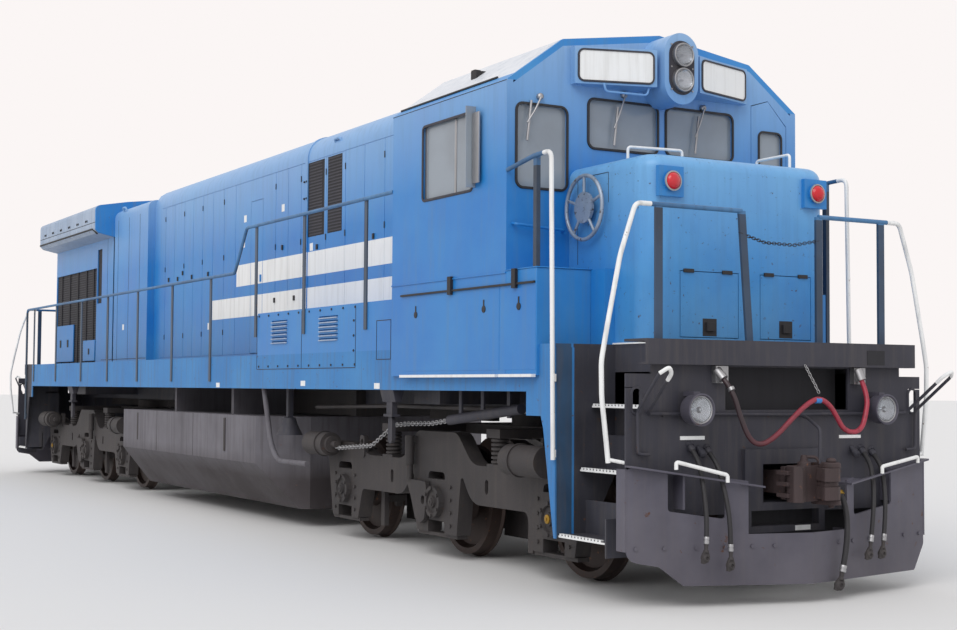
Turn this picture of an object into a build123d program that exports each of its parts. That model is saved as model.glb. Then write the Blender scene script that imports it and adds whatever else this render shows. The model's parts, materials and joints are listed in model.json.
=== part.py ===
from build123d import *
import math
import os

# Six-axle diesel road-switcher, in millimetres. +X is forward (short nose end), +Y is the
# left-hand side, +Z is up. The wheel flanges touch z = 0, so the rail head is at z = 25.4.

# Driving dimensions
rail_top = 25.4
coupler_reach = 10250.0
coupler_height = rail_top + 876.0
half_gauge = 1435.0 / 2
wheel_radius = 508.0
axle_height = rail_top + wheel_radius
truck_centre = 6190.0
truck_wheelbase_half = 2070.0

sill_half = 1530.0
sill_bottom = rail_top + 1560.0
deck_top = rail_top + 1940.0
raised_deck = rail_top + 2420.0
side_plate = 20.0

cab_rear = 6050.0
cab_front = 8170.0
cab_half = 1560.0
cab_base = rail_top + 1690.0
cab_eave = rail_top + 4150.0
cab_shoulder_half = 1010.0
cab_shoulder = rail_top + 4550.0
cab_crown = rail_top + 4700.0
cab_wall = 60.0

nose_front = 9300.0
nose_half = 940.0
nose_top = rail_top + 3450.0
nose_wall = 30.0

hood_half = 920.0
hood_eave = rail_top + 4265.0
hood_top = rail_top + 4535.0
hood_wall = 50.0
equipment_rear = 2450.0
engine_rear = -3040.0
radiator_half = 1140.0
radiator_rear = -8440.0
radiator_eave = rail_top + 4215.0
wing_front = -4450.0
wing_half = 1500.0

end_wall = 8870.0
end_plate = 9750.0
end_plate_half = 1480.0
anticlimber_half = 1350.0
anticlimber_reach = 9850.0
plow_corner = 9800.0
plow_tip = 10120.0
plow_half = 1460.0

parts_folder = "parts"


# Helpers

def block(x0, x1, y0, y1, z0, z1):
    size = (abs(x1 - x0), abs(y1 - y0), abs(z1 - z0))
    return Pos((x0 + x1) / 2, (y0 + y1) / 2, (z0 + z1) / 2) * Box(*size)


def outline(points):
    return make_face(Polyline(*points, close=True))


def rounded(rows):
    points = [(u, v) for u, v, radius in rows]
    radii = [radius for u, v, radius in rows]
    return make_face(FilletPolyline(*points, radius=radii, close=True))


def along_x(face, x0, x1):
    plane = Plane(origin=(x0, 0, 0), x_dir=(0, 1, 0), z_dir=(1, 0, 0))
    return extrude(plane * face, amount=x1 - x0)


def along_y(face, y0, y1):
    plane = Plane(origin=(0, y1, 0), x_dir=(1, 0, 0), z_dir=(0, -1, 0))
    return extrude(plane * face, amount=y1 - y0)


def along_z(face, z0, z1):
    return extrude(Pos(0, 0, z0) * face, amount=z1 - z0)


def rod(start, end, diameter):
    axis = Vector(*end) - Vector(*start)
    plane = Plane(origin=start, z_dir=axis)
    return extrude(plane * Circle(diameter / 2), amount=axis.length)


def pipe(points, diameter, bend):
    path = FilletPolyline(*points, radius=bend)
    plane = Plane(origin=points[0], z_dir=Vector(*points[1]) - Vector(*points[0]))
    return sweep(plane * Circle(diameter / 2), path=path)


def fuse(shapes):
    total = shapes[0]
    for shape in shapes[1:]:
        total = total + shape
    return total


def both_sides(shape):
    return [shape, mirror(shape, about=Plane.XZ)]


def both_ends(shape):
    return [shape, mirror(shape, about=Plane.YZ)]


def save(name, shapes):
    solids = []
    for shape in shapes:
        solids += list(shape.solids())
    export_step(Compound(solids), os.path.join(parts_folder, name + ".step"))
    print(name, len(solids))


# Underframe: deck, side sills, centre sill, bolsters and draft pockets

centre_sill_half = 380.0
centre_sill_bottom = rail_top + 1360.0
deck_plate = 30.0
draft_bottom = rail_top + 720.0
centre_plate_bottom = rail_top + 1345.0
cross_bearers = (-3300, -1100, 1100, 3300)


def underframe():
    parts = [block(-end_wall, end_wall, -sill_half, sill_half, deck_top - deck_plate, deck_top)]
    for side in (-1, 1):
        parts.append(block(-8450, 8450, side * (sill_half - side_plate), side * sill_half,
                           sill_bottom, deck_top))
        parts.append(block(-8450, 8450, side * (sill_half - 120), side * sill_half,
                           sill_bottom, sill_bottom + 20))
        parts.append(block(-end_wall, end_wall, side * (centre_sill_half - 60),
                           side * centre_sill_half, centre_sill_bottom, deck_top - deck_plate))
    for x in cross_bearers:
        parts.append(block(x - 20, x + 20, -sill_half + side_plate, sill_half - side_plate,
                           sill_bottom, deck_top - deck_plate))
    for end in (-1, 1):
        pivot = end * truck_centre
        parts.append(block(pivot - 260, pivot + 260, -1250, 1250, sill_bottom - 130,
                           deck_top - deck_plate))
        parts.append(rod((pivot, 0, centre_plate_bottom), (pivot, 0, sill_bottom), 560))
    return fuse(parts)


# Step wells: stringer plates with their taper, back walls, treads

# tread rows: height of the tread top, outer edge, inner edge, end nearest the coupler
tread_table = (
    (rail_top + 452, 1500, 1240, 9530),
    (rail_top + 960, 1300, 1040, 9730),
    (rail_top + 1460, 1190, 960, 9730),
)


def step_well():
    under_deck = deck_top - deck_plate
    stringer = along_y(outline([(8450, under_deck), (end_wall, under_deck),
                                (8895, rail_top + 310), (8790, rail_top + 310),
                                (8510, rail_top + 1370), (8450, sill_bottom)]),
                       -sill_half, -sill_half + 15)
    back_wall = along_x(outline([(-sill_half + 15, rail_top + 310), (-1230, rail_top + 310),
                                 (-960, rail_top + 900), (-960, under_deck),
                                 (-sill_half + 15, under_deck)]), end_wall, end_wall + 12)
    inner_wall = block(end_wall, end_plate - 10, -960, -948, rail_top + 900, under_deck)
    treads = [stringer, back_wall, inner_wall]
    for height, outer, inner, reach in tread_table:
        treads.append(block(end_wall, reach, -outer, -inner, height - 25, height))
        treads.append(block(end_wall, reach, -inner, -inner + 12, height - 25, height + 260))
    treads.append(block(9530, 9545, -1500, -1180, rail_top + 330, rail_top + 620))
    return fuse(treads)


# End plates with the anticlimber shelf and slots

pocket_half = 300.0
platform_half = 960.0


def end_structure():
    lower = rail_top + 640
    under_deck = deck_top - deck_plate
    plate = block(end_plate, end_plate + 20, -end_plate_half, end_plate_half, lower,
                  rail_top + 1700)
    plate += block(end_plate, end_plate + 20, -1250, 1250, rail_top + 1600, deck_top)
    plate -= block(end_plate - 20, end_plate + 40, -380, 380, 0, rail_top + 1080)
    for side in (-1, 1):
        plate -= Pos(end_plate, side * 1390, rail_top + 1500) * Rot(0, 90, 0) * extrude(
            SlotOverall(190, 80), amount=80, both=True)
    parts = [plate, block(end_wall, end_plate, -platform_half, platform_half, under_deck, deck_top)]
    parts.append(block(9560, anticlimber_reach, -anticlimber_half, anticlimber_half,
                       deck_top, deck_top + 20))
    parts.append(block(anticlimber_reach - 20, anticlimber_reach, -anticlimber_half,
                       anticlimber_half, deck_top - 170, deck_top + 20))
    parts.append(block(end_plate, anticlimber_reach, -anticlimber_half, anticlimber_half,
                       deck_top - 170, deck_top - 155))
    for side in (-1, 1):
        parts.append(block(end_wall, end_plate, side * (pocket_half - 40), side * pocket_half,
                           draft_bottom, under_deck))
    parts.append(block(end_wall, end_wall + 60, -pocket_half, pocket_half, draft_bottom,
                       under_deck))
    parts.append(block(end_wall, end_plate, -pocket_half, pocket_half, draft_bottom - 25,
                       draft_bottom))
    striker = block(end_plate - 20, end_plate + 60, -400, 400, rail_top + 600, rail_top + 1130)
    striker -= block(end_plate - 30, end_plate + 70, -225, 225, rail_top + 720, rail_top + 1015)
    return fuse(parts + [striker])


# Snow plow: two plates that meet at the tip, with a cut for hoses and coupler

# plow outline rows: share of the way from corner to tip, height above the rail, radius
plow_rows_cut = ((0.0, 1015, 50), (0.0, 400, 160), (0.17, 325, 70), (0.31, 110, 30),
                 (1.0, 110, 0), (1.0, 430, 0), (0.73, 430, 0), (0.66, 690, 60),
                 (0.21, 690, 60), (0.21, 985, 0))
plow_rows_full = ((0.0, 1015, 50), (0.0, 370, 60), (0.07, 110, 30), (1.0, 110, 0),
                  (1.0, 430, 0), (0.73, 430, 0), (0.66, 690, 60), (0.21, 690, 60),
                  (0.21, 985, 0))


def plow_half_plate(rows, side):
    span = math.hypot(plow_tip - plow_corner, plow_half)
    direction = Vector((plow_tip - plow_corner) / span, -side * plow_half / span, 0)
    normal = direction.cross(Vector(0, 0, 1))
    plane = Plane(origin=(plow_corner, side * plow_half, 0), x_dir=direction, z_dir=normal)
    face = rounded([(share * span, rail_top + height, radius) for share, height, radius in rows])
    return extrude(plane * face, amount=18 * side)


def plow_shelf(side):
    face = outline([(end_plate + 22, side * plow_half), (plow_corner + 70, side * plow_half),
                    (plow_tip - 40, side * 430), (plow_tip - 300, side * 430)])
    face -= outline([(end_plate, side * 1010), (end_plate + 200, side * 1010),
                     (end_plate + 260, side * 600), (end_plate, side * 600)])
    shelf = along_z(face, 0, 14)
    slope = math.degrees(math.atan2(150, plow_half - 430))
    return Pos(0, side * plow_half, rail_top + 1015) * Rot(side * slope, 0, 0) * Pos(
        0, -side * plow_half, 0) * shelf


def snow_plow(cut_side):
    parts = []
    for side in (-1, 1):
        rows = plow_rows_cut if side == cut_side or cut_side == 0 else plow_rows_full
        parts.append(plow_half_plate(rows, side))
        parts.append(plow_shelf(side))
        parts.append(block(end_plate + 20, plow_corner + 20, side * 1280, side * 1300,
                           rail_top + 300, rail_top + 1000))
        parts.append(block(end_plate + 20, plow_corner + 215, side * 520, side * 540,
                           rail_top + 200, rail_top + 690))
        parts.append(block(end_plate + 20, plow_corner + 120, side * 1030, side * 1050,
                           rail_top + 700, rail_top + 970))
    return fuse(parts)


# Couplers: shank, head and knuckle

# coupler rows: along the locomotive, across it, radius
coupler_head = ((9960, -120, 20), (10050, -200, 30), (10150, -215, 20), (10175, -150, 12),
                (10110, -60, 25), (10075, 70, 0), (10085, 250, 30), (9960, 140, 20))
coupler_knuckle = ((10070, 75, 0), (10165, 75, 25), (10190, 22, 15), (10235, 15, 12),
                   (10250, 50, 15), (10250, 140, 40), (10200, 205, 50), (10070, 230, 0))
knuckle_pin = (10140, 165)


def coupler():
    shank = block(9000, 10020, -75, 75, coupler_height - 90, coupler_height + 90)
    head = along_z(rounded(coupler_head), coupler_height - 135, coupler_height + 135)
    knuckle = along_z(rounded(coupler_knuckle), coupler_height - 120, coupler_height + 120)
    x, y = knuckle_pin
    pin = rod((x, y, coupler_height - 160), (x, y, coupler_height + 165), 44)
    return fuse([shank, head, knuckle, pin])


lever_diameter = 26.0


def uncoupling_lever():
    x = end_plate + 80
    rows = [(x, -130, coupler_height + 190), (x, -150, rail_top + 1120),
            (x, -1050, rail_top + 1240), (x + 60, -1330, rail_top + 1330),
            (x + 110, -1290, rail_top + 1660), (x + 100, -1130, rail_top + 1690),
            (x + 40, -1230, rail_top + 1400)]
    lever = pipe(rows, lever_diameter, 40)
    for y, height in ((-420, 1156), (-1020, 1236)):
        lever += block(end_plate + 20, x, y - 8, y + 8, rail_top + height - 14,
                       rail_top + height + 14)
    return lever


# Handrails along the walkways

rail_diameter = 38.0
low_rail = rail_top + 2930.0
high_rail = rail_top + 3440.0
# post rows: place along X, foot, rail that it carries
post_table = (
    (-8350, rail_top + 1640, low_rail), (-6790, rail_top + 1640, low_rail),
    (-5180, rail_top + 1640, low_rail), (-3670, rail_top + 1640, low_rail),
    (-2150, rail_top + 1640, low_rail), (-600, rail_top + 1640, low_rail),
    (915, rail_top + 1640, low_rail), (2460, rail_top + 2150, high_rail),
    (3870, rail_top + 2150, high_rail), (5420, rail_top + 2150, high_rail),
)


def side_handrail():
    y = -sill_half - 22
    rail = pipe([(-8840, y, rail_top + 960), (-8840, y, low_rail), (1790, y, low_rail),
                 (2180, y, high_rail), (cab_rear, y, high_rail)], rail_diameter, 80)
    posts = [rail, block(-8860, -8820, y, -sill_half, rail_top + 1000, rail_top + 1060),
             block(-8860, -8820, y, -sill_half, rail_top + 1640, rail_top + 1700)]
    for x, foot, top in post_table:
        posts.append(block(x - 32, x + 32, -sill_half - 14, -sill_half, foot, top))
    return fuse(posts)


def corner_rail():
    y = -sill_half - 22
    post = block(8580, 8630, y, y + 37, deck_top, rail_top + 3455)
    rail = pipe([(cab_front + 4, y, rail_top + 3390), (8600, y, rail_top + 3455),
                 (8840, y, rail_top + 3462), (8840, y, rail_top + 960)], rail_diameter, 70)
    clips = [block(8820, 8860, y, -sill_half, z, z + 60) for z in (rail_top + 1000, rail_top + 1640)]
    return fuse([post, rail] + clips)


def end_rail():
    x = 9670
    posts = [block(x - 12, x + 12, -y - 32, -y + 32, deck_top + 20, rail_top + 2960)
             for y in (1150, 330)]
    rail = pipe([(x, -290, rail_top + 2975), (x, -1230, rail_top + 2975),
                 (x + 20, -1540, rail_top + 1700), (x + 35, -1455, rail_top + 1045),
                 (end_plate, -1455, rail_top + 1045)],
                rail_diameter, 40)
    return fuse(posts + [rail])


# Cab: walls, roof, floor

def cab_end_face(inset):
    half = cab_half - inset
    return outline([(-half, cab_base), (half, cab_base), (half, cab_eave - inset * 0.4),
                    (cab_shoulder_half, cab_shoulder - inset), (0, cab_crown - inset),
                    (-cab_shoulder_half, cab_shoulder - inset), (-half, cab_eave - inset * 0.4)])


side_window = (6660, 7600, rail_top + 3280, rail_top + 3970)
# front window rows: right edge, left edge, sill, head
windshields = ((-754, -17, rail_top + 3640, rail_top + 4070),
               (66, 818, rail_top + 3640, rail_top + 4070),
               (-1470, -965, rail_top + 3255, rail_top + 3965))
front_door = (1030, 1450, raised_deck + 20, rail_top + 4020, rail_top + 4240)
rear_door = (-1440, -970, raised_deck + 20, rail_top + 4150)
rear_window = (980, 1430, rail_top + 3300, rail_top + 3960)


def rounded_cut(y0, y1, z0, z1, x0, x1, radius):
    face = Pos((y0 + y1) / 2, (z0 + z1) / 2) * RectangleRounded(y1 - y0, z1 - z0, radius)
    return along_x(face, x0, x1)


def cab_side(side):
    wall = block(cab_rear, cab_front, side * (cab_half - cab_wall), side * cab_half,
                 deck_top, cab_eave)
    wall += block(cab_rear, cab_front, side * sill_half, side * cab_half, cab_base, deck_top)
    x0, x1, z0, z1 = side_window
    wall -= along_y(Pos((x0 + x1) / 2, (z0 + z1) / 2) * RectangleRounded(x1 - x0, z1 - z0, 25),
                    -2000, 2000)
    return wall


def front_door_face(gap):
    y0, y1, z0, low, high = front_door
    return outline([(y0 + gap, z0 + gap), (y1 - gap, z0 + gap), (y1 - gap, low - gap),
                    (y0 + 200, high - gap), (y0 + gap, high - 60 - gap)])


def cab_front_wall():
    wall = along_x(cab_end_face(cab_wall), cab_front - cab_wall, cab_front)
    wall -= block(cab_front - 200, cab_front + 10, -2000, 2000, 0, deck_top)
    for y0, y1, z0, z1 in windshields:
        wall -= rounded_cut(y0, y1, z0, z1, cab_front - 200, cab_front + 50, 60)
    wall -= along_x(front_door_face(0), cab_front - 200, cab_front + 50)
    return wall


def cab_rear_wall():
    wall = along_x(cab_end_face(cab_wall), cab_rear, cab_rear + cab_wall)
    wall -= block(cab_rear - 10, cab_rear + 200, -2000, 2000, 0, deck_top)
    y0, y1, z0, z1 = rear_door
    wall -= block(cab_rear - 50, cab_rear + 200, y0, y1, z0, z1)
    y0, y1, z0, z1 = rear_window
    wall -= rounded_cut(y0, y1, z0, z1, cab_rear - 50, cab_rear + 200, 50)
    return wall


def cab_roof():
    outer = along_x(cab_end_face(0), cab_rear - 20, cab_front)
    inner = along_x(cab_end_face(cab_wall), cab_rear - 30, cab_front + 30)
    return outer - inner - block(0, 9000, -2000, 2000, 0, cab_eave)


def cab_floor():
    floor = block(cab_rear + cab_wall, cab_front - cab_wall, -cab_half + cab_wall,
                  cab_half - cab_wall, raised_deck - 40, raised_deck)
    return floor


def cab_fittings():
    stand = along_y(outline([(7350, raised_deck), (7900, raised_deck), (7900, rail_top + 3250),
                             (7700, rail_top + 3450), (7500, rail_top + 3350),
                             (7350, rail_top + 3200)]), -560, -150)
    parts = [stand]
    for y in (-1050, 1000):
        seat = block(6900, 7350, y - 230, y + 230, raised_deck + 430, raised_deck + 530)
        seat += block(6880, 6960, y - 230, y + 230, raised_deck + 530, raised_deck + 1100)
        seat += Pos(7120, y, raised_deck + 215) * Cylinder(50, 430)
        parts.append(seat)
    return parts


def cab_glass():
    panes = []
    depth = cab_front - 35
    for y0, y1, z0, z1 in windshields:
        panes.append(rounded_cut(y0 + 1, y1 - 1, z0 + 1, z1 - 1, depth, depth + 8, 59))
    y0, y1, z0, z1 = rear_window
    panes.append(rounded_cut(y0 + 1, y1 - 1, z0 + 1, z1 - 1, cab_rear + 27, cab_rear + 35, 49))
    x0, x1, z0, z1 = side_window
    face = Pos((x0 + x1) / 2, (z0 + z1) / 2) * RectangleRounded(x1 - x0 - 2, z1 - z0 - 2, 25)
    panes += both_sides(along_y(face, -cab_half + 26, -cab_half + 34))
    panes += both_sides(block(x1 + 35, x1 + 47, -cab_half - 95, -cab_half, z0 + 20, z1 + 30))
    return panes


door_gap = 6.0


def cab_front_door():
    leaf = along_x(front_door_face(door_gap), cab_front - 40, cab_front)
    y0, y1, z0, low, high = front_door
    leaf -= rounded_cut(y0 + 90, y1 - 60, rail_top + 3450, rail_top + 3950,
                        cab_front - 60, cab_front + 20, 50)
    leaf += Pos(cab_front + 15, y1 - 80, rail_top + 3100) * Box(30, 24, 120)
    return leaf


def cab_rear_door():
    y0, y1, z0, z1 = rear_door
    leaf = block(cab_rear, cab_rear + 40, y0 + door_gap, y1 - door_gap, z0 + door_gap,
                 z1 - door_gap)
    leaf -= rounded_cut(y0 + 80, y1 - 80, rail_top + 3350, rail_top + 3950,
                        cab_rear - 20, cab_rear + 60, 50)
    leaf += Pos(cab_rear - 15, y0 + 70, rail_top + 3100) * Box(30, 24, 120)
    return leaf


# Nose with two hatches, and the lockers beside it

# hatch rows: right edge, left edge
nose_hatches = ((-634, -42), (178, 724))
hatch_bottom = deck_top + 55
hatch_top = rail_top + 2525


def nose_shell():
    shell = block(cab_front, nose_front, -nose_half, nose_half, deck_top, nose_top)
    shell = fillet(shell.edges().filter_by(Axis.Z).group_by(Axis.X)[-1], 200)
    shell = fillet(shell.faces().sort_by(Axis.Z)[-1].edges().filter_by(
        lambda edge: edge.center().X > cab_front + 5), 110)
    shell -= block(cab_front, nose_front - 230, -nose_half + nose_wall, nose_half - nose_wall,
                   deck_top + 10, nose_top - 120)
    shell -= block(nose_front - 240, nose_front - nose_wall, -nose_half + 230, nose_half - 230,
                   deck_top + 10, nose_top - 120)
    for y0, y1 in nose_hatches:
        shell -= block(nose_front - 60, nose_front + 10, y0, y1, hatch_bottom, hatch_top)
    return shell


def nose_hatch(y0, y1):
    leaf = block(nose_front - 25, nose_front, y0 + door_gap, y1 - door_gap,
                 hatch_bottom + door_gap, hatch_top - door_gap)
    latch = block(nose_front, nose_front + 18, (y0 + y1) / 2 - 30, (y0 + y1) / 2 + 30,
                  hatch_bottom + 60, hatch_bottom + 120)
    return leaf + latch


def nose_lockers():
    right = block(cab_front, 8850, -1040, -nose_half, deck_top, rail_top + 2550)
    left = block(cab_front, 8850, nose_half, 1300, deck_top, raised_deck)
    return [right, left]


# Hood sections

def hood_face(half, eave, top, inset):
    h, e, t = half - inset, eave, top - inset
    arc = t - e
    lines = [Line((-h, deck_top), (h, deck_top)), Line((h, deck_top), (h, e)),
             RadiusArc((h, e), (h - arc, t), -arc), Line((h - arc, t), (-h + arc, t)),
             RadiusArc((-h + arc, t), (-h, e), -arc), Line((-h, e), (-h, deck_top))]
    return make_face(lines)


def hood_section(half, eave, top, x0, x1):
    shell = along_x(hood_face(half, eave, top, 0), x0, x1)
    inner = along_x(hood_face(half, eave, top, hood_wall), x0 + hood_wall, x1 - hood_wall)
    return shell - Pos(0, 0, -5) * inner


# screen rows: rear end, front end, bottom, top
equipment_screens = ((2470, 2980, rail_top + 3335, rail_top + 4210),
                     (3070, 3470, rail_top + 3335, rail_top + 4210))
radiator_screens = ((-8430, -5720, deck_top + 20, rail_top + 3600),
                    (-5660, -5380, rail_top + 2960, rail_top + 3660))
recess = 25.0


def screen_pockets(shell, rows, half):
    for x0, x1, z0, z1 in rows:
        for side in (-1, 1):
            shell -= block(x0, x1, side * (half - recess), side * (half + 5), z0, z1)
    return shell


# seam places along each hood
equipment_seams = (3030, 3560, 4060, 4560, 5060, 5560)
engine_seams = (-2850, -2430, -1990, -1600, -1200, -780, -340, 100, 1500, 1900, 2300)
radiator_seams = (-5320, -4700, -4100, -3500)
seam_depth = 6.0
seam_width = 9.0


def door_seams(shell, places, half, x0, x1):
    low, high = deck_top + 55, hood_eave - 40
    for side in (-1, 1):
        y0, y1 = side * (half - seam_depth), side * (half + 5)
        for x in places:
            shell -= block(x - seam_width / 2, x + seam_width / 2, y0, y1, low, high)
        for z in (low, high):
            shell -= block(x0, x1, y0, y1, z - seam_width / 2, z + seam_width / 2)
    return shell


def hood_equipment():
    shell = hood_section(hood_half, hood_eave, hood_top, equipment_rear, cab_rear)
    band = along_x(hood_face(hood_half + 12, hood_eave, hood_top + 12, 0),
                   equipment_rear, equipment_rear + 60)
    inner = along_x(hood_face(hood_half, hood_eave, hood_top, 0), equipment_rear - 5,
                    equipment_rear + 65)
    shell = door_seams(shell, equipment_seams, hood_half, equipment_rear + 60, cab_rear - 40)
    shell = screen_pockets(shell, equipment_screens, hood_half)
    return shell + (band - inner)


# hood door rows: rear edge, front edge, top
hood_doors = ((660, 1080, rail_top + 3950),)
hood_door_bottom = deck_top + 60


def hood_engine():
    shell = hood_section(hood_half, hood_eave, hood_top, engine_rear, equipment_rear)
    shell = door_seams(shell, engine_seams, hood_half, engine_rear + 40, equipment_rear - 40)
    for x0, x1, z1 in hood_doors:
        shell -= block(x0, x1, -hood_half - 5, -hood_half + 60, hood_door_bottom, z1)
        shell -= block(x0, x1, hood_half - 60, hood_half + 5, hood_door_bottom, z1)
    return shell


def hood_door(x0, x1, z1):
    leaf = block(x0 + door_gap, x1 - door_gap, -hood_half, -hood_half + 30,
                 hood_door_bottom + door_gap, z1 - door_gap)
    handle = block(x1 - 60, x1 - 40, -hood_half - 20, -hood_half, rail_top + 2900, rail_top + 2990)
    return leaf + handle


wing_low = rail_top + 4000.0
wing_seat = rail_top + 3920.0


def hood_radiator():
    shell = hood_section(radiator_half, radiator_eave, hood_top, radiator_rear, engine_rear)
    shell -= block(radiator_rear - 10, wing_front, -wing_half, wing_half, wing_seat, hood_top + 10)
    shell = door_seams(shell, radiator_seams, radiator_half, radiator_screens[1][1] + 30,
                       engine_rear - 40)
    return screen_pockets(shell, radiator_screens, radiator_half)


def radiator_wings():
    face = outline([(-wing_half, wing_low), (-wing_half, rail_top + 4270),
                    (-wing_half + 60, rail_top + 4320), (0, rail_top + 4600),
                    (wing_half - 60, rail_top + 4320), (wing_half, rail_top + 4270),
                    (wing_half, wing_low), (wing_half - 60, wing_low - 40), (1100, wing_seat),
                    (-1100, wing_seat), (-wing_half + 60, wing_low - 40)])
    cover = along_x(face, radiator_rear - 20, wing_front)
    hollow = along_x(outline([(-1080, wing_seat - 10), (-1080, rail_top + 4300),
                              (0, rail_top + 4520), (1080, rail_top + 4300),
                              (1080, wing_seat - 10)]), radiator_rear + 60, wing_front - 60)
    return cover - hollow


def air_screens():
    panels = []
    for half, rows in ((hood_half, equipment_screens), (radiator_half, radiator_screens)):
        for x0, x1, z0, z1 in rows:
            panel = block(x0 + 1, x1 - 1, -half + 3, -half + recess, z0 + 1, z1 - 1)
            panels += both_sides(panel)
    return panels


def exhaust_stack():
    base = block(-2350, -1350, -260, 260, hood_top, hood_top + 60)
    return base + block(-2300, -1400, -210, 210, hood_top + 60, hood_top + 120)


# Raised cabinets along the walkway beside the equipment hood

# louver rows: rear end, front end, bottom
louvers = ((2950, 3400, rail_top + 2060), (4270, 4750, rail_top + 2060))
louver_pitch = 46.0
louver_count = 6


def side_cabinet():
    body = block(equipment_rear + 60, cab_rear, -sill_half, -hood_half, deck_top, raised_deck)
    for x0, x1, z0 in louvers:
        for row in range(louver_count):
            z = z0 + row * louver_pitch
            body -= along_x(outline([(-sill_half - 1, z), (-sill_half - 1, z + 30),
                                     (-sill_half + 22, z + 30)]), x0, x1)
    return body


# Fuel tank, reservoirs and engine

def fuel_tank():
    top, waist, bottom = rail_top + 1240, rail_top + 695, rail_top + 185
    section = outline([(-1500, top), (-1500, waist), (-1090, bottom), (1090, bottom),
                       (1500, waist), (1500, top)])
    plan = outline([(-2870, -1500), (2410, -1500), (2850, -1000), (2850, 1000), (2410, 1500),
                    (-2870, 1500)])
    tank = along_x(section, -2900, 2900) & along_z(plan, 0, 2000)
    saddles = []
    for x in cross_bearers[1:3]:
        for side in (-1, 1):
            saddles.append(block(x - 40, x + 40, side * 500, side * 1300, top, sill_bottom))
    return fuse([tank] + saddles)


def brake_tube():
    tube = rod((6740, -1300, rail_top + 1290), (8000, -1300, rail_top + 1411), 90)
    for x in (6950, 7350, 7800):
        tube += block(x - 25, x + 25, -1310, -1290, rail_top + 1330, sill_bottom)
    return tube


jack_pad_x = 5880.0


def jack_pad():
    y = -sill_half + 65
    pad = along_x(outline([(y - 60, sill_bottom), (y + 60, sill_bottom),
                           (y + 30, sill_bottom - 115), (y - 30, sill_bottom - 115)]), -140, 140)
    pad += block(-60, 60, y - 28, y + 28, rail_top + 1330, sill_bottom - 115)
    pad += block(-90, 90, y - 45, y + 45, rail_top + 1305, rail_top + 1330)
    pad += along_y(Pos(0, rail_top + 1180) * SlotOverall(260, 90, rotation=90), y - 18, y + 18)
    return Pos(jack_pad_x, 0, 0) * pad


def engine_block():
    return block(-2900, 2000, -700, 700, deck_top, rail_top + 3850)


# Lamps, number boards and fittings

def headlight(front):
    face = Pos(0, rail_top + 4348) * Rot(0, 0, 90) * SlotOverall(620, 360)
    return along_x(face, front, front + 320)


def number_board(front):
    face = outline([(front, 230), (front + 280, 230), (front + 67, 930), (front, 930)])
    return along_z(face, rail_top + 4170, rail_top + 4490)


def marker_lamp(front):
    body = block(front, front + 40, -866, -626, rail_top + 3100, rail_top + 3340)
    return body + rod((front + 40, -746, rail_top + 3220), (front + 62, -746, rail_top + 3220), 150)


def ditch_light():
    centre = rail_top + 1420
    drum = rod((9790, -930, centre), (9970, -930, centre), 240)
    return drum + rod((end_plate + 20, -930, centre), (9790, -930, centre), 60)


def bell():
    profile = outline([(0, 0), (150, 0), (140, 20), (95, 110), (70, 190), (0, 210)])
    cup = revolve(Plane.XZ * profile, axis=Axis.Z)
    cup -= Pos(0, 0, -1) * Cone(125, 60, 120, align=(Align.CENTER, Align.CENTER, Align.MIN))
    yoke = block(-30, 30, -30, 30, 200, sill_bottom - rail_top - 1040)
    return Pos(2940, -1300, rail_top + 1040) * (cup + yoke)


def brake_wheel():
    centre = (8484, -nose_half - 60, rail_top + 3080)
    rim = Pos(*centre) * Rot(90, 0, 0) * Torus(265, 17)
    hub = rod((centre[0], -nose_half, centre[2]), (centre[0], centre[1] - 15, centre[2]), 60)
    disc = rod((centre[0], centre[1] + 12, centre[2]), (centre[0], centre[1] - 12, centre[2]), 260)
    parts = [hub, disc, rim]
    for turn in range(5):
        angle = math.radians(90 + 72 * turn)
        tip = (centre[0] + 262 * math.cos(angle), centre[1], centre[2] + 262 * math.sin(angle))
        parts.append(rod(centre, tip, 26))
    return fuse(parts)


# Trucks

frame_y0 = 990.0
frame_y1 = 1140.0
jaw_half = 165.0
box_bore = 180.0
bolster_top = centre_plate_bottom - 10
bolster_seat = rail_top + 1140.0
spring_x = 1060.0
spring_y = 1065.0
dip = 885.0
belly = 530.0
leg_foot = 215.0
# cast side frame from its middle outwards: place along the truck, height above rail, radius
frame_upper = ((400, 1170, 180), (690, dip, 300), (1480, dip, 120), (1880, 1000, 120),
               (2600, 1000, 60))
# and back along its underside, round each pair of pedestal legs
frame_lower = ((2500, 800, 110), (2385, leg_foot, 20), (2235, leg_foot, 0), (2235, 790, 50),
               (1905, 790, 50), (1905, leg_foot, 0), (1745, leg_foot, 20), (1640, belly, 70),
               (690, belly, 280), (480, 800, 30), (400, leg_foot, 20), (165, leg_foot, 0),
               (165, 790, 50))
lightening_hole = (950, 700, 130, 60)
# bracket of the damper on the middle axle box: place along the truck, height, radius
damper_bracket = ((-540, 700, 20), (-130, 690, 30), (-95, 560, 40), (-150, 330, 50),
                  (-250, 285, 30), (-335, 330, 60), (-430, 540, 90))


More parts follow.
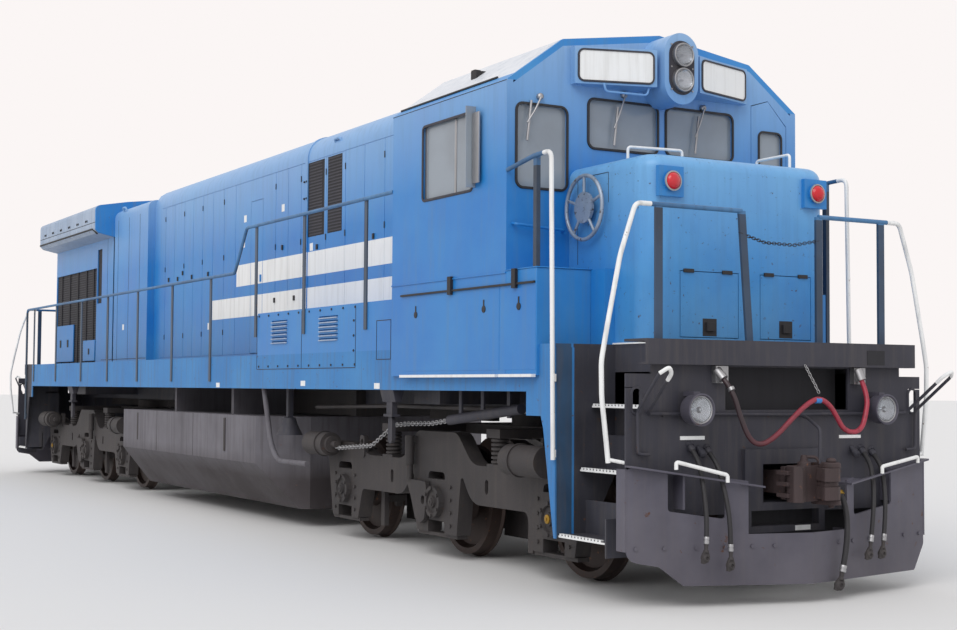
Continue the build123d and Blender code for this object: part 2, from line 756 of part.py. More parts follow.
def side_frame():
    half = frame_upper + frame_lower
    other = tuple((-x, z, radius) for x, z, radius in reversed(half))
    face = Pos(0, rail_top) * rounded(half + other)
    x, z, length, width = lightening_hole
    for side in (-1, 1):
        face -= Pos(side * x, rail_top + z) * SlotOverall(length, width, rotation=90)
    frame = along_y(face, -frame_y1, -frame_y0)
    for x, reach in ((-truck_wheelbase_half, 330), (0, 380), (truck_wheelbase_half, 330)):
        frame += block(x - reach, x + reach, -frame_y1 + 20, -frame_y0 - 20,
                       rail_top + leg_foot - 32, rail_top + leg_foot)
    lug = along_y(Pos(-1630, rail_top + 970) * (RectangleRounded(110, 230, 40)
                                                 - Pos(0, 50) * Circle(26)),
                  -frame_y1 - 15, -frame_y1 + 35)
    bracket = along_y(Pos(0, rail_top) * (rounded(damper_bracket) - Pos(-177, 515) * Circle(42)),
                      -frame_y1 - 55, -frame_y1 - 10)
    return fuse([frame, lug, bracket])


def coil_spring(x, y):
    height = bolster_seat - rail_top - dip - 25
    turns = 6
    pitch = height / turns
    profile = [(0, 0)]
    for turn in range(turns):
        base = turn * pitch
        profile += [(60, base), (80, base + pitch * 0.25), (80, base + pitch * 0.75)]
    profile += [(60, height), (0, height)]
    return Pos(x, y, rail_top + dip + 25) * revolve(Plane.XZ * outline(profile), axis=Axis.Z)


def truck_frame(pivot):
    parts = both_sides(side_frame())
    for side in (-1, 1):
        x = side * spring_x
        parts.append(block(x - 100, x + 100, -frame_y0, frame_y0, rail_top + 620, rail_top + 820))
        parts.append(block(x - 120, x + 120, -frame_y1, frame_y1, bolster_seat,
                           bolster_seat + 80))
        for reach in (-1, 1):
            parts.append(block(x - 110, x + 110, reach * frame_y0, reach * frame_y1,
                               rail_top + dip, rail_top + dip + 25))
            parts.append(coil_spring(x, reach * spring_y))
    parts.append(block(-spring_x, spring_x, -300, 300, bolster_seat - 20, bolster_seat + 80))
    parts.append(rod((0, 0, bolster_seat), (0, 0, bolster_top), 540))
    parts += journal_boxes()
    return Pos(pivot, 0, 0) * fuse(parts)


# axle box cover rows: radius, how far it stands out of the side frame
box_cover = ((0, 62), (55, 62), (60, 40), (105, 34), (112, 55), (148, 55), (152, 0), (0, 0))


def journal_boxes():
    cover_face = outline([(radius, -reach) for radius, reach in box_cover])
    cover = revolve(Plane.XY * cover_face, axis=Axis.Y)
    boxes = []
    for x in (-truck_wheelbase_half, 0, truck_wheelbase_half):
        box = block(x - jaw_half, x + jaw_half, -frame_y1, -frame_y0, rail_top + 330,
                    rail_top + 720)
        box += Pos(x, -frame_y1, axle_height) * cover
        box -= rod((x, -frame_y1, axle_height), (x, 0, axle_height), box_bore)
        boxes += both_sides(box)
    return boxes


# brake cylinder rows: rod end, outer end along the truck, height above the rail, diameter
brake_cylinders = ((1620, 2200, 980, 264), (-2130, -2630, 976, 250))
# brake shoe rows: axle that it serves, side of the wheel
brake_shoes = ((-truck_wheelbase_half, 1), (0, -1), (truck_wheelbase_half, -1))
shoe_inner = wheel_radius + 8.0
shoe_outer = wheel_radius + 62.0
shoe_half_angle = 17.0
shoe_y0 = 730.0
shoe_y1 = 800.0


def brake_cylinder(start, end, height, diameter):
    y, z = -frame_y1 - 20 - diameter / 2, rail_top + height
    way = math.copysign(1, end)
    drum = rod((start, y, z), (end, y, z), diameter)
    drum += rod((start + way * 150, y, z), (start + way * 175, y, z), diameter + 24)
    drum += rod((start - way * 60, y, z), (start, y, z), diameter * 0.7)
    drum += rod((start - way * 150, y, z), (start, y, z), 70)
    low, high = sorted((start + way * 100, end - way * 100))
    return drum + block(low, high, y, -frame_y1, z - 60, z + 60)


def brake_shoe(axle_x, way):
    face = Circle(shoe_outer) - Circle(shoe_inner)
    reach = 900
    spread = reach * math.tan(math.radians(shoe_half_angle))
    face &= outline([(0, 0), (reach, -spread), (reach, spread)])
    shoe = along_y(face, -shoe_y1, -shoe_y0)
    back = shoe_outer - 8
    shoe += block(back, back + 60, -frame_y0 + 50, -shoe_y0, -110, -40)
    bar_top = 60 if way * axle_x < 0 else 280
    shoe += block(back + 10, back + 90, -frame_y0, -frame_y0 + 50, -350, bar_top)
    if way < 0:
        shoe = mirror(shoe, about=Plane.YZ)
    return Pos(axle_x, 0, axle_height) * shoe


def brake_rigging(pivot, flip):
    parts = []
    for row in brake_cylinders:
        parts += both_sides(brake_cylinder(*row))
    for axle_x, way in brake_shoes:
        parts += both_sides(brake_shoe(axle_x, way))
    damper = rod((-450, -frame_y1 - 58, rail_top + 700), (-450, -frame_y1 - 58, rail_top + 1120), 70)
    damper += rod((-450, -frame_y1 - 58, rail_top + 840), (-450, -frame_y1 - 58, rail_top + 1120), 92)
    damper += block(-490, -410, -frame_y1 - 58, -frame_y1, rail_top + 1060, rail_top + 1110)
    parts += both_sides(damper)
    if flip:
        parts = [mirror(shape, about=Plane.YZ) for shape in parts]
    return [Pos(pivot, 0, 0) * shape for shape in parts]


def traction_motors(pivot):
    motors = []
    for x, reach in ((-truck_wheelbase_half, 1), (0, 1), (truck_wheelbase_half, -1)):
        motors.append(block(x + reach * 150, x + reach * 750, -480, 480, axle_height - 330,
                            axle_height + 200))
    return [Pos(pivot, 0, 0) * shape for shape in motors]


def wheelset():
    inner = half_gauge - 37.5
    outer = inner + 140
    flange = wheel_radius + rail_top
    wheel_face = outline([(60, inner - 10), (flange - 8, inner), (flange, inner + 14),
                          (wheel_radius + 4, inner + 36), (wheel_radius - 3, outer),
                          (wheel_radius - 60, outer), (wheel_radius - 90, outer - 55),
                          (200, outer - 35), (170, outer + 20), (60, outer + 20)])
    wheel = revolve(Plane.XY * wheel_face, axis=Axis.Y)
    axle = rod((0, -frame_y1 + 10, 0), (0, frame_y1 - 10, 0), 160)
    axle += rod((0, -inner, 0), (0, inner, 0), 200)
    return Pos(0, 0, axle_height) * fuse([axle] + both_sides(wheel))


# Free hoses and the jumper cable: routes by hand from where they leave the locomotive

hose_diameter = 36.0
brake_hose_diameter = 46.0
cable_diameter = 40.0
hose_routes = {
    "mu_hose_1": ((9800, -900, 1160), (9885, -903, 1080), (9925, -906, 960), (9975, -912, 790),
                  (10010, -925, 620), (10015, -935, 480)),
    "mu_hose_2": ((9800, -740, 1140), (9890, -738, 1065), (9945, -735, 940),
                  (10005, -733, 780), (10045, -735, 610), (10055, -740, 420)),
    "mu_hose_3": ((9800, 820, 1115), (9885, 810, 1040), (9945, 780, 930), (10010, 730, 780),
                  (10050, 680, 600), (10065, 640, 430)),
    "mu_hose_4": ((9800, 930, 1100), (9880, 925, 1030), (9935, 905, 920), (9990, 870, 770),
                  (10030, 830, 600), (10040, 800, 430)),
    "brake_hose": ((9955, 395, 850), (10035, 388, 765), (10085, 375, 650), (10110, 355, 510),
                   (10115, 330, 360), (10110, 300, 220)),
}
jumper_route = ((9850, -640, 1690), (9925, -610, 1600), (9950, -560, 1400), (9960, -480, 1230),
                (9965, -370, 1190), (9970, -230, 1260), (9975, -80, 1390), (9980, 60, 1500),
                (9985, 181, 1555), (9980, 300, 1500), (9975, 380, 1400), (9965, 450, 1310),
                (9960, 560, 1275), (9955, 660, 1310), (9935, 720, 1420), (9900, 780, 1560),
                (9850, 760, 1690))


def cord(points, diameter, name):
    radii = []
    for before, corner, after in zip(points, points[1:], points[2:]):
        run_in = Vector(*corner) - Vector(*before)
        run_out = Vector(*after) - Vector(*corner)
        turn = math.radians(run_in.get_angle(run_out))
        radii.append(0.45 * min(run_in.length, run_out.length) / math.tan(turn / 2))
    path = FilletPolyline(*points, radius=radii)
    plane = Plane(origin=points[0], z_dir=Vector(*points[1]) - Vector(*points[0]))
    tube = sweep(plane * Circle(diameter / 2), path=path)
    section = math.pi * diameter ** 2 / 4
    print(name, "length", round(path.length), "radii", [round(r) for r in radii],
          "volume ratio", round(tube.volume / (section * path.length), 3))
    return tube


def beyond(end, neighbour, reach):
    outward = (Vector(*end) - Vector(*neighbour)).normalized()
    return tuple(Vector(*end) + outward * reach)


def hose_gland(route, diameter):
    run_x = route[1][0] - route[0][0]
    share = (route[0][0] - end_plate - 10) / run_x
    foot = tuple(Vector(*route[0]) - (Vector(*route[1]) - Vector(*route[0])) * share)
    return rod(foot, route[0], diameter)


def gladhand(route, diameter):
    end, neighbour = route[-1], route[-2]
    shank = rod(end, beyond(end, neighbour, 50), diameter)
    head_start, head_end = beyond(end, neighbour, 45), beyond(end, neighbour, 110)
    return shank + rod(head_start, head_end, diameter * 1.7)


def jumper_plug(end, neighbour):
    y, z = end[1] + 10 * math.copysign(1, neighbour[1] - end[1]), end[2]
    plug = rod(end, beyond(end, neighbour, 90), 76)
    plug -= block(end_plate - 80, end_plate + 20, y - 100, y + 100, z - 100, z + 200)
    return plug + block(end_plate + 20, end_plate + 70, y - 60, y + 60, z - 30, z + 100)


def build():
    os.makedirs(parts_folder, exist_ok=True)
    save("underframe", [underframe()])
    wells = []
    for well in both_ends(step_well()):
        wells += both_sides(well)
    save("step_wells", wells)
    front, rear = both_ends(end_structure())
    glands = [hose_gland(hose_routes["mu_hose_" + str(n)], hose_diameter + 14) for n in (1, 2, 3, 4)]
    route = hose_routes["brake_hose"]
    elbow = beyond(route[0], route[1], 50)
    glands.append(rod(elbow, route[0], 58))
    glands.append(rod((end_plate + 10, elbow[1], elbow[2]), elbow, 50))
    save("end_plates", [fuse([front] + glands), rear])
    save("snow_plows", [snow_plow(-1), mirror(snow_plow(0), about=Plane.YZ)])
    save("couplers", both_ends(coupler()))
    save("side_handrails", both_sides(side_handrail()))
    rails = []
    for rail in [corner_rail()] + both_ends(end_rail()):
        rails += both_sides(rail)
    save("end_handrails", rails)
    save("cab_side_right", [cab_side(-1)])
    save("cab_side_left", [cab_side(1)])
    save("cab_front_wall", [cab_front_wall()])
    save("cab_rear_wall", [cab_rear_wall()])
    save("cab_roof", [cab_roof()])
    save("cab_floor", [cab_floor()])
    save("cab_fittings", cab_fittings())
    save("cab_glass", cab_glass())
    save("cab_door_front", [cab_front_door()])
    save("cab_door_rear", [cab_rear_door()])
    save("nose", [nose_shell()])
    save("nose_hatch_right", [nose_hatch(*nose_hatches[0])])
    save("nose_hatch_left", [nose_hatch(*nose_hatches[1])])
    save("hood_equipment", [hood_equipment()])
    save("hood_engine", [hood_engine()])
    save("hood_radiator", [hood_radiator()])
    save("radiator_wings", [radiator_wings()])
    door = hood_door(*hood_doors[0])
    save("hood_door_right", [door])
    save("hood_door_left", [mirror(door, about=Plane.XZ)])
    save("air_screens", air_screens())
    save("exhaust_stack", [exhaust_stack()])
    save("side_cabinets", both_sides(side_cabinet()) + nose_lockers())
    save("fuel_tank", [fuel_tank()])
    fittings = [brake_tube(), bell()]
    for pad in both_ends(jack_pad()):
        fittings += both_sides(pad)
    save("under_deck_fittings", fittings)
    save("engine_block", [engine_block()])
    save("headlights", [headlight(cab_front)])
    save("number_boards", both_sides(number_board(cab_front)))
    save("marker_lamps", both_sides(marker_lamp(nose_front)))
    save("ditch_lights", both_sides(ditch_light()))
    save("brake_wheel", [brake_wheel()])
    levers = []
    for lever in both_ends(uncoupling_lever()):
        levers += both_sides(lever)
    save("uncoupling_levers", levers)
    for name, sign in (("front", 1), ("rear", -1)):
        pivot = sign * truck_centre
        save("truck_frame_" + name, [truck_frame(pivot)])
        save("brake_rigging_" + name, brake_rigging(pivot, sign < 0))
        save("traction_motors_" + name, traction_motors(pivot))
    gladhands = []
    for name, route in hose_routes.items():
        diameter = brake_hose_diameter if name == "brake_hose" else hose_diameter
        save(name, [cord(route, diameter, name)])
        gladhands.append(gladhand(route, diameter + 8))
    save("hose_couplings", gladhands)
    save("jumper_cable", [cord(jumper_route, cable_diameter, "jumper_cable")])
    save("jumper_plugs", [jumper_plug(jumper_route[0], jumper_route[1]),
                          jumper_plug(jumper_route[-1], jumper_route[-2])])
    number = 1
    for pivot in (truck_centre, -truck_centre):
        for offset in (truck_wheelbase_half, 0, -truck_wheelbase_half):
            save("wheelset_" + str(number), [Pos(pivot + offset, 0, 0) * wheelset()])
            number += 1


build()
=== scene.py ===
import json
import math
import bmesh
import bpy
from mathutils import Matrix, Vector


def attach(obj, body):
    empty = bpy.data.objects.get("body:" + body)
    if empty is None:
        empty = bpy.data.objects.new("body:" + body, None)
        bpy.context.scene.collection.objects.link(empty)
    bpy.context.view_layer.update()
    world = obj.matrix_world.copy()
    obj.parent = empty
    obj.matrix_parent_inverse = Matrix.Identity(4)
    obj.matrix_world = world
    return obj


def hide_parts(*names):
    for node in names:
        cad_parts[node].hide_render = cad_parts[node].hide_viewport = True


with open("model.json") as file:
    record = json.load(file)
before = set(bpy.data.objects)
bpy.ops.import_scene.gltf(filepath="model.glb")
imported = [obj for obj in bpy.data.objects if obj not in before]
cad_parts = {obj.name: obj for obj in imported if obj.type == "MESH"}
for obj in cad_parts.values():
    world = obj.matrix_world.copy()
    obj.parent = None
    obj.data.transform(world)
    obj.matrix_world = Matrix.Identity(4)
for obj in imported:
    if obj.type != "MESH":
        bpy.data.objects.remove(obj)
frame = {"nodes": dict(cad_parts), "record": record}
scene = bpy.context.scene
nodes = frame["nodes"]
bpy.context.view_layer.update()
railTop = 0.0254
carbody = "carbody"
# signs of the ends and sides where a form is repeated: front and left are 1
front, both = (1,), (1, -1)

# camera: solved from the photograph, lens on a 36 mm wide sensor
cameraValues = {
    "place": (18.811, -7.853, 1.594 + railTop), "azimuth": 60.44, "elevation": -2.74, "roll": 0.37,
    "lens": 56.53, "sensor": 36, "reach": 500}


def makeCamera():
    azimuth, elevation, roll = (math.radians(cameraValues[key]) for key in ("azimuth", "elevation", "roll"))
    back = Vector((math.sin(azimuth) * math.cos(elevation), -math.cos(azimuth) * math.cos(elevation),
                   math.sin(elevation)))
    flat = (-back).cross(Vector((0, 0, 1))).normalized()
    lift = flat.cross(-back)
    right = math.cos(roll) * flat + math.sin(roll) * lift
    up = -math.sin(roll) * flat + math.cos(roll) * lift
    data = bpy.data.cameras.new("photoCamera")
    data.lens = cameraValues["lens"]
    data.sensor_width = cameraValues["sensor"]
    data.clip_end = cameraValues["reach"]
    camera = bpy.data.objects.new("photoCamera", data)
    turn = Matrix((right, up, back)).transposed().to_4x4()
    camera.matrix_world = Matrix.Translation(cameraValues["place"]) @ turn
    scene.collection.objects.link(camera)
    scene.camera = camera


# an sRGB hex code as linear light
def linearColour(hexCode, alpha=1.0):
    values = [int(hexCode[i:i + 2], 16) / 255 for i in (1, 3, 5)]
    return [v / 12.92 if v <= 0.04045 else ((v + 0.055) / 1.055) ** 2.4 for v in values] + [alpha]


# a node, its inputs linked or set by socket, and its settings
def addNode(tree, kind, links=None, **settings):
    made = tree.nodes.new(kind)
    for key, value in settings.items():
        setattr(made, key, value)
    for socket, source in (links or {}).items():
        if isinstance(source, bpy.types.NodeSocket):
            tree.links.new(source, made.inputs[socket])
        else:
            made.inputs[socket].default_value = source
    return made


# the second colour over the first, by a factor
def mixColours(tree, factor, first, second):
    return addNode(tree, "ShaderNodeMix", {0: factor, 6: first, 7: second},
                   data_type="RGBA").outputs[2]


# an empty material with one principled shader
def newMaterial(name):
    material = bpy.data.materials.new(name)
    material.use_nodes = True
    tree = material.node_tree
    tree.nodes.clear()
    shader = tree.nodes.new("ShaderNodeBsdfPrincipled")
    output = tree.nodes.new("ShaderNodeOutputMaterial")
    tree.links.new(shader.outputs[0], output.inputs[0])
    return material, tree, shader


# where a second coat goes: boxes of (axis, low, high), an axis in bars counts both sides alike
def placeMask(tree, place, areas):
    parts = addNode(tree, "ShaderNodeSeparateXYZ", {0: place}).outputs
    total = None
    for area in areas:
        inside = None
        for axis, low, high in area:
            value = parts["xyz".index(axis.strip("|"))]
            if axis[0] == "|":
                value = addNode(tree, "ShaderNodeMath", {0: value}, operation="ABSOLUTE").outputs[0]
            near = addNode(tree, "ShaderNodeMath", {0: value, 1: (low + high) / 2, 2: (high - low) / 2},
                           operation="COMPARE").outputs[0]
            inside = near if inside is None else addNode(tree, "ShaderNodeMath", {0: inside, 1: near},
                                                         operation="MULTIPLY").outputs[0]
        total = inside if total is None else addNode(tree, "ShaderNodeMath", {0: total, 1: inside},
                                                     operation="MAXIMUM").outputs[0]
    return total


# what a finish has when it doesn't say otherwise
plainLook = {
    "broadScale": 0.9, "fadeFrom": 0.35, "fadeTo": 0.7, "runs": (9, 9, 0.6), "streakScale": 1.6,
    "streakFrom": 0.48, "streakTo": 0.78, "streaks": 0.3, "spotScale": 14.0, "rustShare": 0.3,
    "rustNone": 0.74, "rustSpan": 0.2, "rustSoft": 0.045, "gritScale": 180.0, "glossDown": 0.08,
    "glossUp": 0.12, "metal": 0.0, "bump": 0.25, "depth": 0.002}


# a coat or bare metal with broad fading, rain streaks, chips or rust spots and grime
def weathered(name, finish):
    look = {**plainLook, **finish}
    coat, faded, grime, rust = (linearColour(tone) for tone in look["tones"])
    material, tree, shader = newMaterial(name)
    place = addNode(tree, "ShaderNodeTexCoord").outputs["Object"]
    height = addNode(tree, "ShaderNodeSeparateXYZ", {0: place}).outputs[2]
    run = addNode(tree, "ShaderNodeMapping", {"Vector": place, "Scale": look["runs"]}).outputs[0]
    noises = []
    for vector, scale, detail, rough in (
            (place, look["broadScale"], 5.0, 0.6), (run, look["streakScale"], 6.0, 0.65),
            (place, look["spotScale"], 8.0, 0.72), (place, look["gritScale"], 3.0, 0.5)):
        noises.append(addNode(tree, "ShaderNodeTexNoise", {"Vector": vector, "Scale": scale, "Detail": detail,
                                                           "Roughness": rough}).outputs[0])
    broad, streak, spot, grit = noises
    fade = addNode(tree, "ShaderNodeMapRange", {0: broad, 1: look["fadeFrom"], 2: look["fadeTo"]}).outputs[0]
    colour = mixColours(tree, fade, coat, faded)
    for other, areas in look.get("coats", ()):
        second = mixColours(tree, fade, *(linearColour(tone) for tone in finishes[other]["tones"][:2]))
        colour = mixColours(tree, placeMask(tree, place, areas), colour, second)
    if "sun" in look:  # painted highlight: the upper sheets lightened towards the top for the sky light on them
        low, high, share, tone = look["sun"]
        skyHighlight = addNode(tree, "ShaderNodeMapRange",
                         {0: height, 1: low, 2: high, 3: 0.0, 4: share}).outputs[0]
        colour = mixColours(tree, skyHighlight, colour, linearColour(tone))
    runs = addNode(tree, "ShaderNodeMapRange", {0: streak, 1: look["streakFrom"], 2: look["streakTo"], 3: 0.0,
                                                4: look["streaks"]}).outputs[0]
    colour = mixColours(tree, runs, colour, grime)
    if "dust" in look:  # grime settles thicker towards the track
        top, low, share = look["dust"]
        dust = addNode(tree, "ShaderNodeMapRange", {0: height, 1: top, 2: low, 3: 0.0, 4: share}).outputs[0]
        dust = addNode(tree, "ShaderNodeMath", {0: dust, 1: broad}, operation="MULTIPLY").outputs[0]
        colour = mixColours(tree, dust, colour, grime)
    limit = look["rustNone"] - look["rustShare"] * look["rustSpan"]
    spots = addNode(tree, "ShaderNodeMapRange", {0: spot, 1: limit, 2: limit + look["rustSoft"]}).outputs[0]
    tree.links.new(mixColours(tree, spots, colour, rust), shader.inputs["Base Color"])
    rough = addNode(tree, "ShaderNodeMapRange", {0: broad, 3: look["rough"] - look["glossDown"],
                                                 4: look["rough"] + look["glossUp"]}).outputs[0]
    tree.links.new(rough, shader.inputs["Roughness"])
    shader.inputs["Metallic"].default_value = look["metal"]
    bump = addNode(tree, "ShaderNodeBump", {"Height": grit, "Strength": look["bump"],
                                            "Distance": look["depth"]}).outputs[0]
    if "dents" in look:  # thin sheet between its frames is never quite flat
        wave = addNode(tree, "ShaderNodeTexNoise", {"Vector": place, "Scale": 1.7, "Detail": 1.0}).outputs[0]
        bump = addNode(tree, "ShaderNodeBump", {"Height": wave, "Strength": 1.0, "Distance": look["dents"],
                                                "Normal": bump}).outputs[0]
    tree.links.new(bump, shader.inputs["Normal"])
    return material


# tones: coat, faded coat, grime, rust or chips; sun: painted highlight from height, to height, share, tone;
# dust: from height, down to height, share; coats: another finish and the places that it covers
finishes = {
    # baked enamel on steel sheet, chalked by the sun: soft sheen, pale patches, rust chips, and a painted
    # highlight on its upper sheets
    "blueEnamel": {"tones": ("#1674C0", "#3387C9", "#5A7C99", "#4A3A3C"), "rough": 0.4, "streaks": 0.35,
        "rustShare": 0.22, "dents": 0.012, "gritScale": 260.0, "bump": 0.12,
        "sun": (3.4, 4.75, 0.75, "#A3C3E2"), "dust": (2.6, 1.5, 0.22)},
    # the nose meets stones and insects: more chips than the sides; its top is painted lighter as a highlight
    "chippedBlue": {"tones": ("#257CC4", "#4C97D1", "#4A7098", "#3E3440"), "rough": 0.36, "streaks": 0.3,
        "rustShare": 0.58, "spotScale": 24.0, "dents": 0.02, "bump": 0.12,
        "sun": (2.5, 3.6, 0.6, "#8CC0E6"), "dust": (2.6, 1.9, 0.35)},
    # blue rails, rubbed dark by gloves and soot
    "rubbedBlue": {"tones": ("#345F88", "#4C81B0", "#35404D", "#5C4438"), "rough": 0.45, "streaks": 0.7,
        "rustShare": 0.6, "bump": 0.15},
    # the posts carry more soot than the top rail
    "railPaint": {"tones": ("#345F88", "#4C81B0", "#35404D", "#6B4E3C"), "rough": 0.45, "streaks": 0.5,
        "rustShare": 0.5, "bump": 0.15, "coats": (("sootyPost", ((("|x|", 9.6, 9.75), ("z", 1.9, 2.975),
        ("|y|", 0.0, 1.19)), (("x", 8.57, 8.64), ("|y|", 1.5, 1.56), ("z", 1.9, 3.4)))), ("whiteEnamel",
        ((("|x|", 9.55, 9.8), ("|y|", 1.2, 1.7)), (("|x|", 8.74, 8.93), ("|y|", 1.5, 1.6)))))},
    # side rails: sooty posts under a blue top rail
    "sidePosts": {"tones": ("#3B4654", "#4A5A6C", "#2A2E36", "#5C4438"), "rough": 0.5, "streaks": 0.5,
        "rustShare": 0.5, "bump": 0.15, "coats": (("rubbedBlue", ((("z", 2.9, 3.5),
        ("|y|", 1.549, 1.6)),)),)},
    # pale grey standing for the sky reflected on the sloped cab roof: a painted reflection over the blue coat
    "roofSkyReflection": {"tones": ("#CDD1D8", "#E6E7EA", "#8D929A", "#7A6A5C"), "rough": 0.5, "streaks": 0.3,
        "rustShare": 0.2},
    # cab roof: blue, its upper slopes painted pale grey as a reflection of the sky
    "roofPaint": {"tones": ("#2B82C8", "#4794CF", "#5A7C99", "#4A3A3C"), "rough": 0.42, "streaks": 0.3,
        "rustShare": 0.2, "dents": 0.01, "coats": (("roofSkyReflection", ((("z", 4.243, 4.9),
        ("x", 6.0, 8.13)),)),)},
    # side sill, stringers and the strip behind them are blue, the strip's groove painted darker as shade; the
    # rest of the deck frame black
    "wellPaint": {"tones": ("#2F2F37", "#43434C", "#5A544F", "#5A4030"), "rough": 0.6, "streaks": 0.5,
        "rustShare": 0.5, "bump": 0.25, "coats": (("sillBlue", ((("|y|", 1.505, 1.56), ("x", -8.5, 9.0)),
        (("x", 8.86, 8.89), ("|y|", 1.351, 1.372)))), ("shadedBlue", ((("x", 8.86, 8.89),
        ("|y|", 1.372, 1.516)),)))},
    # posts in the soot of the end rails
    "sootyPost": {"tones": ("#27303D", "#38506C", "#35404D", "#6B4E3C"), "rough": 0.5, "streaks": 0.5,
        "rustShare": 0.6},
    # blue of the step stringers' back, painted darker as the shade in its groove
    "shadedBlue": {"tones": ("#2C4560", "#3C5F82", "#33363E", "#5A4638"), "rough": 0.55, "streaks": 0.5,
        "rustShare": 0.4},
    # side sill, a little dirtier than the hoods
    "sillBlue": {"tones": ("#2C76B6", "#4589C2", "#4A5866", "#6A5040"), "rough": 0.5, "streaks": 0.5,
        "rustShare": 0.4},
    # outer leaf of the wing stays pale, its end sheet was painted again
    "wingPaint": {"tones": ("#8FA3BC", "#AEBBCD", "#6E7580", "#5F5654"), "rough": 0.52, "streaks": 0.5,
        "rustShare": 0.5, "dents": 0.01, "coats": (("blueEnamel", ((("x", -5.2, -5.1),
        ("|y|", 0.0, 2.0)),)),)},
    # white enamel of stripes, grab rails and tread edges
    "whiteEnamel": {"tones": ("#EAEAE9", "#F2F1EF", "#A9A49A", "#8A6B52"), "rough": 0.5, "streaks": 0.35,
        "rustShare": 0.25, "spotScale": 30.0, "bump": 0.1},
    # faded grey-blue of the radiator covers; on the louver lips the same pale is a painted highlight
    "paleWing": {"tones": ("#8FA3BC", "#A9B6C8", "#6E7580", "#7A5A48"), "rough": 0.55, "streaks": 0.45,
        "rustShare": 0.4, "dents": 0.01},
    # frame black gone grey with road dust
    "frameBlack": {"tones": ("#2A2A34", "#3D3C45", "#5A544F", "#4A342B"), "rough": 0.62, "streaks": 0.4,
        "rustShare": 0.45, "bump": 0.3, "depth": 0.003},
    # plow steel: black coat scoured to a dull grey by snow and ballast
    "scouredPlow": {"tones": ("#42404C", "#65636F", "#615C60", "#55392D"), "rough": 0.5, "streaks": 0.45,
        "rustShare": 0.5, "spotScale": 9.0, "dents": 0.015, "metal": 0.25, "dust": (0.9, 0.1, 0.7)},
    # cast steel under oil and brake dust
    "oilyCasting": {"tones": ("#2E2B2C", "#423D3D", "#5B5249", "#4A3226"), "rough": 0.66, "streaks": 0.25,
        "rustShare": 0.5, "bump": 0.55, "depth": 0.004, "gritScale": 90.0},
    # rolled wheel: bright tread, brown disc
    "wheelSteel": {"tones": ("#332826", "#45362F", "#2C2623", "#6B4630"), "rough": 0.5, "metal": 0.45,
        "streaks": 0.3, "rustShare": 0.6},
    # bare coupler casting, rust brown with dark grease
    "rustyCoupler": {"tones": ("#352A2B", "#473838", "#231C1B", "#6E4832"), "rough": 0.7, "streaks": 0.5,
        "rustShare": 0.7, "bump": 0.6, "depth": 0.004},
    # fuel tank plate: dust over black paint, oil and rust runs
    "dustyTank": {"tones": ("#5A575D", "#757278", "#3A3436", "#6B4B3A"), "rough": 0.7, "streaks": 0.6,
        "rustShare": 0.45, "dents": 0.02, "dust": (0.85, 0.55, 1.6)},
    # polished reflector behind the lens
    "lampMirror": {"tones": ("#B9BDC4", "#D5D8DC", "#6A6C70", "#7A7C80"), "rough": 0.16, "metal": 0.95,
        "streaks": 0.2, "rustShare": 0.0, "bump": 0.0},
    # locker by the steps: blue, rubbed to primer on its outer face
    "patchedBlue": {"tones": ("#1F7AC2", "#3C8CCB", "#5A7C99", "#8A6A5A"), "rough": 0.5, "streaks": 0.4,
        "rustShare": 0.3, "spotScale": 7.0, "coats": (("barePrimer", ((("x", 8.157, 8.585),
        ("y", -1.57, -1.55), ("z", 1.955, 2.31)),)),)},
    # primer where the locker's coat is rubbed off
    "barePrimer": {"tones": ("#7D94AE", "#A08F86", "#6E7580", "#8A6A5A"), "rough": 0.6, "streaks": 0.6,
        "rustShare": 0.9},
    # screens dull with soot; in the recesses and the shelf's notch the same near-black is painted shade
    "sootyMeshAndShade": {"tones": ("#1D1D21", "#2B2A2F", "#100F10", "#3A2A24"), "rough": 0.75, "streaks": 0.4,
        "rustShare": 0.3},
    # zinc-grey fittings, hardly rusted
    "dullSteel": {"tones": ("#9A9A9C", "#B4B4B6", "#5A5755", "#6F5542"), "rough": 0.38, "metal": 0.85,
        "streaks": 0.3, "rustShare": 0.4, "spotScale": 40.0},
    # hand wheel: paint worn through to grey steel
    "wornWheel": {"tones": ("#8E9CAD", "#B2BAC4", "#3E444E", "#4A3F3C"), "rough": 0.42, "metal": 0.35,
        "streaks": 0.4, "rustShare": 0.8, "spotScale": 22.0},
    # tarnished brass caps
    "brass": {"tones": ("#A8822F", "#8F7434", "#4A3C24", "#5A4426"), "rough": 0.4, "metal": 0.8,
        "streaks": 0.4, "rustShare": 0.4, "spotScale": 40.0},
    # grained black seat cover
    "seatVinyl": {"tones": ("#2B2B2E", "#38383B", "#1C1B1C", "#3A332E"), "rough": 0.55, "bump": 0.4,
        "gritScale": 400.0, "rustShare": 0.0},
    # hose rubber: dull black with grey scuffs
    "hoseRubber": {"tones": ("#1C1B1E", "#2A292C", "#4A4748", "#57504A"), "rough": 0.6, "streaks": 0.3,
        "rustShare": 0.25, "spotScale": 60.0, "bump": 0.3},
}
paint = {name: weathered(name, look) for name, look in finishes.items()}


